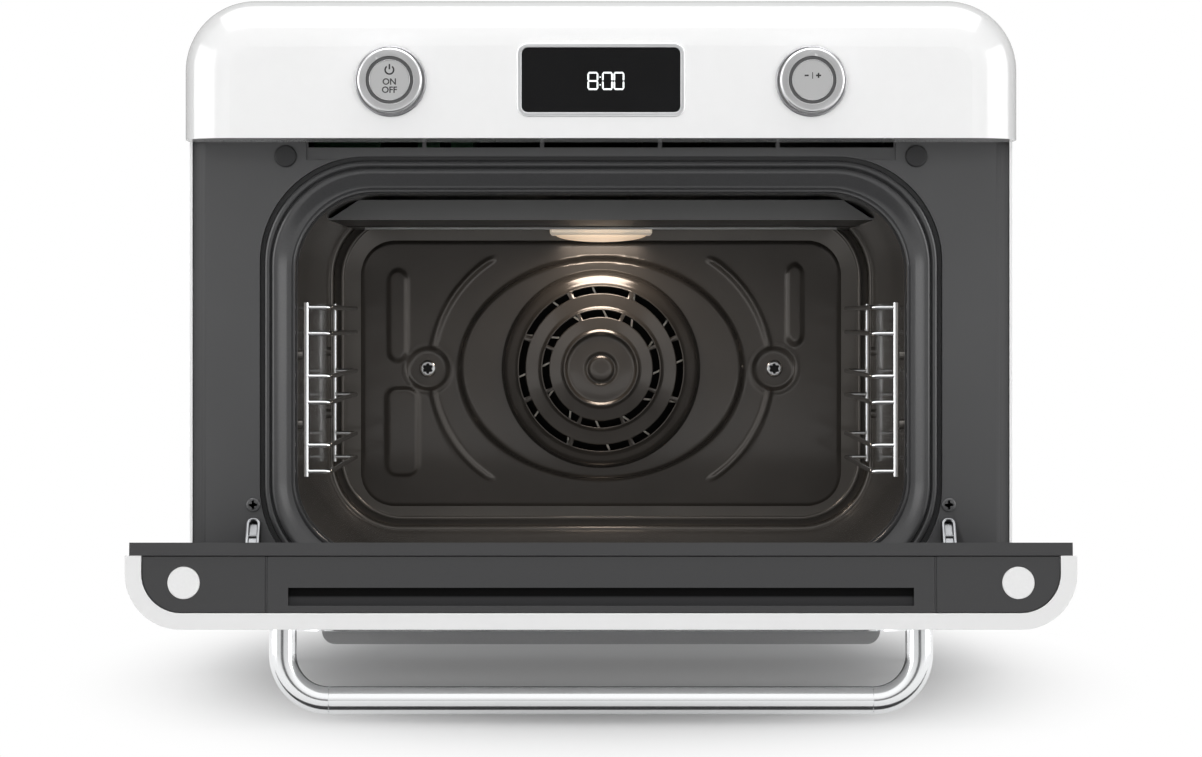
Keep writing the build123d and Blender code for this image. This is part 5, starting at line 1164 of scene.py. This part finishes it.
# The heads in front stand just ahead of the CAD heads, which they cover
front_screw_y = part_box("casing_screws")[0].y
front_head_rim = 0.9 * MM
front_head_lead = 0.5 * MM
front_head_seat = 1.2 * MM
front_head_search = 0.3 * MM
front_heads = [
    corner.co for corner in nodes["casing_screws"].data.vertices
    if corner.co.y < front_screw_y + front_head_search
]
front_head_x = (max(at.x for at in front_heads) + min(at.x for at in front_heads if at.x > 0)) / 2
front_head_z = (max(at.z for at in front_heads) + min(at.z for at in front_heads)) / 2
front_head_radius = (max(at.z for at in front_heads) - min(at.z for at in front_heads)) / 2 + front_head_rim
make_screw_head(
    "front_screw_heads",
    [(-front_head_x, front_head_z), (front_head_x, front_head_z)],
    face_y=front_screw_y - front_head_lead,
    back_y=front_screw_y + front_head_seat,
    radius=front_head_radius,
    lobes=4,
    tip=0.62 * front_head_radius,
    notch=0.24 * front_head_radius,
    spread=math.radians(12),
    material=dark_screw,
)

# Recesses of CAD pieces that take a darker colour as painted shade, and the depths that tell their faces
grip_floor_low = 3.0 * MM
grip_floor_high = 5.0 * MM
grip_reach = 20 * MM
groove_inner = 11.8 * MM
groove_outer = 14.3 * MM
groove_edge = 0.1 * MM
groove_floor = 1.8 * MM
channel_floor_near = 4.5 * MM
channel_floor_far = 7.5 * MM
facing = 0.99
facing_front = 0.9


def shade_grip_slot(mesh):
    """Marks the floor and walls of the grip slot in the end cap, so that they take the painted shade."""
    outwards = Vector((0, -math.cos(door_rise), math.sin(door_rise)))
    face_level = max(corner.co.dot(outwards) for corner in mesh.verts)
    for face in mesh.faces:
        middle = face.calc_center_median()
        level_floor = face.normal.dot(outwards) > facing and abs(middle.x) < grip_reach
        if level_floor and grip_floor_low < face_level - middle.dot(outwards) < grip_floor_high:
            face.material_index = 1
            for edge in face.edges:
                for wall_face in edge.link_faces:
                    wall_face.material_index = 1


def shade_knob_groove(mesh):
    """Marks the ring groove round a knob's disc, so that it takes a darker colour as painted shade."""
    middle_x = sum(corner.co.x for corner in mesh.verts) / len(mesh.verts)
    middle_z = (max(corner.co.z for corner in mesh.verts) + min(corner.co.z for corner in mesh.verts)) / 2
    for face in mesh.faces:
        reach = [math.hypot(corner.co.x - middle_x, corner.co.z - middle_z) for corner in face.verts]
        ahead = all(corner.co.y < left_disc_low.y + groove_floor for corner in face.verts)
        sunk = face.calc_center_median().y > left_disc_low.y + groove_edge
        if ahead and sunk and groove_inner < min(reach) and max(reach) < groove_outer:
            face.material_index = 1


def shade_gasket_channel(mesh):
    """Marks the floor of the gasket's channel in the front frame, which the light hardly reaches, so that it
    takes a darker colour as painted shade.
    """
    front = min(corner.co.y for corner in mesh.verts)
    for face in mesh.faces:
        depth = face.calc_center_median().y - front
        if face.normal.y < -facing_front and channel_floor_near < depth < channel_floor_far:
            face.material_index = 1


recesses = {
    "front_frame": (shade_gasket_channel, channel_painted_shade),
    "door_end_cap": (shade_grip_slot, slot_shade),
    "left_knob": (shade_knob_groove, groove_painted_shade),
    "right_knob": (shade_knob_groove, groove_painted_shade),
}


def ease_edges(node, width_mm, body, lean=30, rounds=2):
    """A copy of a CAD piece with the small round that moulding, pressing or enamelling leaves on edges."""
    mesh = bmesh.new()
    mesh.from_mesh(nodes[node].data)
    bmesh.ops.remove_doubles(mesh, verts=mesh.verts, dist=0.004 * MM)
    bmesh.ops.dissolve_limit(mesh, angle_limit=math.radians(0.6), verts=mesh.verts, edges=mesh.edges)
    mesh.normal_update()
    mark, inner_material = recesses.get(node, (None, None))
    if mark:
        mark(mesh)
    piece = finish_piece(
        f"{node}_eased", mesh, nodes[node].data.materials[0], body, [node], lean, inner_material
    )
    eased_edge = piece.modifiers.new("eased_edges", "BEVEL")
    eased_edge.width = width_mm * MM
    eased_edge.segments = rounds
    eased_edge.limit_method = "ANGLE"
    eased_edge.angle_limit = math.radians(lean)
    eased_edge.use_clamp_overlap = True
    eased_edge.harden_normals = True
    return piece


for node, width_mm, slot, body in (
    ("front_frame", 0.5, "dark_frame", "root"),
    ("door_end_cap", 0.6, "dark_plastic", "door"),
    ("door_shell", 0.5, "white_enamel", "door"),
    ("display_bezel", 0.3, "chrome_trim", "root"),
    ("ceiling_plate", 0.6, "oven_enamel", "root"),
    ("drip_tray", 0.8, "dark_plastic", "tray"),
    ("end_cap_plugs", 0.5, "light_plastic", "door"),
    ("frame_bumpers", 0.5, "black_rubber", "root"),
    ("left_knob", 0.25, "knob_metal", "left_knob"),
    ("right_knob", 0.25, "knob_metal", "right_knob"),
    ("knob_rings", 0.25, "chrome_trim", "root"),
):
    ease_edges(node, width_mm, body)

# Studio: a pale floor, a white background, soft lamps
floor_half = 6.0


def lay_sheet(name, middle_y, level, half_length, half_depth):
    """A level sheet of the studio, centred on the oven's middle plane."""
    mesh = bmesh.new()
    spread = Matrix.Diagonal((half_length, half_depth, 1, 1))
    bmesh.ops.create_grid(
        mesh, x_segments=1, y_segments=1, size=1.0, matrix=Matrix.Translation((0, middle_y, level)) @ spread
    )
    data = bpy.data.meshes.new(name)
    mesh.to_mesh(data)
    mesh.free()
    sheet = bpy.data.objects.new(name, data)
    bpy.context.scene.collection.objects.link(sheet)
    return sheet


floor = lay_sheet("floor", 0, 0, floor_half, floor_half)

# A grey strip on the floor, hidden from the camera: its reflection is the thin line along the handle's
# lower side
handle_low, handle_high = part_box("handle_bar")
mirror_lean = math.radians(27)
strip_drop = math.radians(60.5)
strip_half_width = 5 * MM
strip_overhang = 120 * MM
strip_half_length = handle_high.x + strip_overhang
strip_level = 0.3 * MM
tube_radius = (handle_high.z - handle_low.z) / 2
line_height = (handle_high.z + handle_low.z) / 2 - tube_radius * math.sin(mirror_lean)
line_y = (handle_high.y + handle_low.y) / 2 - tube_radius * math.cos(mirror_lean)
strip_y = line_y - line_height / math.tan(strip_drop)
strip = lay_sheet("mirrored_strip", strip_y, strip_level, strip_half_length, strip_half_width)
paint(strip, powder_coat("strip_grey", "#3c3c3d", "#404041", 0.9))
strip.visible_camera = False
strip.visible_diffuse = False
strip.visible_shadow = False


def backdrop_rays(tree):
    """1 for the rays that see the background itself: the camera's, mirrored and passed through glass."""
    seen = add_node(tree, "ShaderNodeLightPath")
    mirrored = add_node(
        tree, "ShaderNodeMath", {"operation": "MAXIMUM"},
        {0: seen.outputs["Is Glossy Ray"], 1: seen.outputs["Is Transmission Ray"]},
    )
    return seen.outputs["Is Camera Ray"], mirrored.outputs[0]


def pale_floor():
    """Matt white floor under the oven, which keeps its shadow and fades into the white background."""
    material, tree, shader, place = new_finish(
        "pale_floor", Roughness=0.9, **{"Base Color": colour("#f4f4f4")}
    )
    camera_rays, mirrored_rays = backdrop_rays(tree)
    footprint = add_node(
        tree, "ShaderNodeMapping", {"Scale": (1.0, floor_depth_share, 1.0)}, {"Vector": place}
    )
    reach = add_node(tree, "ShaderNodeVectorMath", {"operation": "LENGTH"}, {0: footprint.outputs["Vector"]})
    far = add_node(
        tree, "ShaderNodeMapRange",
        {"From Min": floor_fade_start, "From Max": floor_fade_end, "interpolation_type": "SMOOTHSTEP"},
        {"Value": reach.outputs["Value"]},
    )
    eyes = add_node(tree, "ShaderNodeMath", {"operation": "MAXIMUM"}, {0: camera_rays, 1: mirrored_rays})
    lifted = add_node(
        tree, "ShaderNodeMapRange", {"To Min": shadow_lift, "To Max": 1.0}, {"Value": far.outputs["Result"]}
    )
    share = add_node(
        tree, "ShaderNodeMath", {"operation": "MULTIPLY"}, {0: lifted.outputs["Result"], 1: eyes.outputs[0]}
    )
    white = add_node(tree, "ShaderNodeEmission", {"Color": (1, 1, 1, 1), "Strength": 1.0})
    blend = add_node(
        tree, "ShaderNodeMixShader", links={0: share.outputs[0], 1: shader.outputs[0], 2: white.outputs[0]}
    )
    finish = [node for node in tree.nodes if node.type == "OUTPUT_MATERIAL"][0]
    tree.links.new(blend.outputs[0], finish.inputs["Surface"])
    return material


floor_fade_start = 0.15
floor_fade_end = 0.33
floor_depth_share = 0.62
shadow_lift = 0.13
paint(floor, pale_floor())

# The room: soft grey light for matt surfaces, dimmer overhead, and white for what the camera sees. Mirrored
# rays see a bright ceiling, dimmer towards eye level and behind the oven, and a dark end behind the camera
room_level = 0.63
overhead_level = 0.42
overhead_start = 0.3
mirrored_level = 1.15
eye_level_end = 0.05
ceiling_start = 0.5
behind_start = 0.0
behind_full = 0.35
behind_share = 0.55
eye_level_share = 0.6
dim_end_level = 0.12
dim_end_start = 0.965
dim_end_full = 0.99
world = bpy.data.worlds.new("studio")
bpy.context.scene.world = world
world.use_nodes = True
sky = world.node_tree
sky.nodes.clear()
camera_rays, mirrored_rays = backdrop_rays(sky)
heading = add_node(
    sky, "ShaderNodeSeparateXYZ", links={0: add_node(sky, "ShaderNodeTexCoord").outputs["Generated"]}
)
towards_camera = add_node(
    sky, "ShaderNodeMapRange",
    {
        "From Min": -dim_end_start, "From Max": -dim_end_full,
        "To Min": mirrored_level, "To Max": dim_end_level,
    },
    {"Value": heading.outputs["Y"]},
)
behind = add_node(
    sky, "ShaderNodeMapRange",
    {"From Min": behind_start, "From Max": behind_full, "To Min": 1.0, "To Max": behind_share},
    {"Value": heading.outputs["Y"]},
)
high_up = add_node(
    sky, "ShaderNodeMapRange",
    {"From Min": eye_level_end, "From Max": ceiling_start, "To Min": eye_level_share, "To Max": 1.0},
    {"Value": heading.outputs["Z"]},
)
front_and_back = add_node(
    sky, "ShaderNodeMath", {"operation": "MULTIPLY"},
    {0: towards_camera.outputs["Result"], 1: behind.outputs["Result"]},
)
mirrored_strength = add_node(
    sky, "ShaderNodeMath", {"operation": "MULTIPLY"},
    {0: front_and_back.outputs[0], 1: high_up.outputs["Result"]},
)
room_strength = add_node(
    sky, "ShaderNodeMapRange",
    {"From Min": overhead_start, "From Max": 1.0, "To Min": room_level, "To Max": overhead_level},
    {"Value": heading.outputs["Z"]},
)
room = add_node(
    sky, "ShaderNodeBackground", {"Color": (1, 1, 1, 1)}, {"Strength": room_strength.outputs["Result"]}
)
mirrored = add_node(
    sky, "ShaderNodeBackground", {"Color": (1, 1, 1, 1)}, {"Strength": mirrored_strength.outputs[0]}
)
backdrop = add_node(sky, "ShaderNodeBackground", {"Color": (1, 1, 1, 1), "Strength": 1.0})
lit_or_mirrored = add_node(
    sky, "ShaderNodeMixShader", links={0: mirrored_rays, 1: room.outputs[0], 2: mirrored.outputs[0]}
)
all_rays = add_node(
    sky, "ShaderNodeMixShader", links={0: camera_rays, 1: lit_or_mirrored.outputs[0], 2: backdrop.outputs[0]}
)
add_node(sky, "ShaderNodeOutputWorld", links={"Surface": all_rays.outputs[0]})


def add_softbox(name, place, aim, size, brightness, seen_in_gloss):
    """A rectangular soft lamp that looks at aim: one that lights, or one that only shows in gloss."""
    lamp_data = bpy.data.lights.new(name, "AREA")
    lamp_data.shape = "RECTANGLE"
    lamp_data.size, lamp_data.size_y = size
    lamp_data.energy = brightness * math.pi * size[0] * size[1]
    lamp = bpy.data.objects.new(name, lamp_data)
    lamp.location = place
    lamp.rotation_euler = (Vector(aim) - Vector(place)).to_track_quat("-Z", "Y").to_euler()
    lamp.visible_diffuse = not seen_in_gloss
    lamp.visible_glossy = seen_in_gloss
    lamp.visible_camera = False
    bpy.context.scene.collection.objects.link(lamp)
    return lamp


oven_middle = (0, -0.05, 0.2)
gloss_brightness = 2.4
add_softbox(
    "top_softbox", place=(0, -0.15, 1.6), aim=oven_middle, size=(2.4, 1.7),
    brightness=0.36, seen_in_gloss=False,
)
add_softbox(
    "front_softbox", place=(0, -2.5, 0.5), aim=oven_middle, size=(2.2, 1.0),
    brightness=3.5, seen_in_gloss=False,
)
add_softbox(
    "top_gloss_panel", place=(0, -0.2, 1.7), aim=(0, -0.2, 0.2), size=(2.3, 1.84),
    brightness=gloss_brightness, seen_in_gloss=True,
)
for side, name in ((-1, "left_gloss_panel"), (1, "right_gloss_panel")):
    add_softbox(
        name, place=(side * 1.75, -0.66, 0.6), aim=(0, -0.66, 0.6), size=(2.06, 1.1),
        brightness=gloss_brightness, seen_in_gloss=True,
    )

# The lamp's own light in the cavity, just under its bowl
cavity_lamp_watts = 0.1
cavity_lamp_gap = 1.0 * MM
cavity_lamp_data = bpy.data.lights.new("cavity_lamp", "AREA")
cavity_lamp_data.shape = "ELLIPSE"
cavity_lamp_data.size, cavity_lamp_data.size_y = 2 * bowl_half_length, 2 * bowl_half_depth
cavity_lamp_data.color = colour("#ffeedd")[:3]
cavity_lamp_data.energy = cavity_lamp_watts
cavity_lamp = bpy.data.objects.new("cavity_lamp", cavity_lamp_data)
cavity_lamp.location = (0, lamp_middle.y, lens_high.z - lamp_rim_height - bowl_depth - cavity_lamp_gap)
cavity_lamp.visible_camera = False
bpy.context.scene.collection.objects.link(cavity_lamp)

# The camera, level and straight in front, with its lens shifted to the photograph's horizon
camera_data = bpy.data.cameras.new("camera")
camera_data.sensor_width = sensor_width_mm
camera_data.lens = focal_px / image_width_px * sensor_width_mm
camera_data.shift_y = (horizon_px - image_height_px / 2) / image_width_px
camera_data.clip_start = 0.05
camera = bpy.data.objects.new("camera", camera_data)
camera.location = (0, -camera_back, camera_height)
camera.rotation_euler = (math.radians(90), 0, 0)
bpy.context.scene.collection.objects.link(camera)
bpy.context.scene.camera = camera
bpy.context.scene.view_settings.view_transform = "Standard"
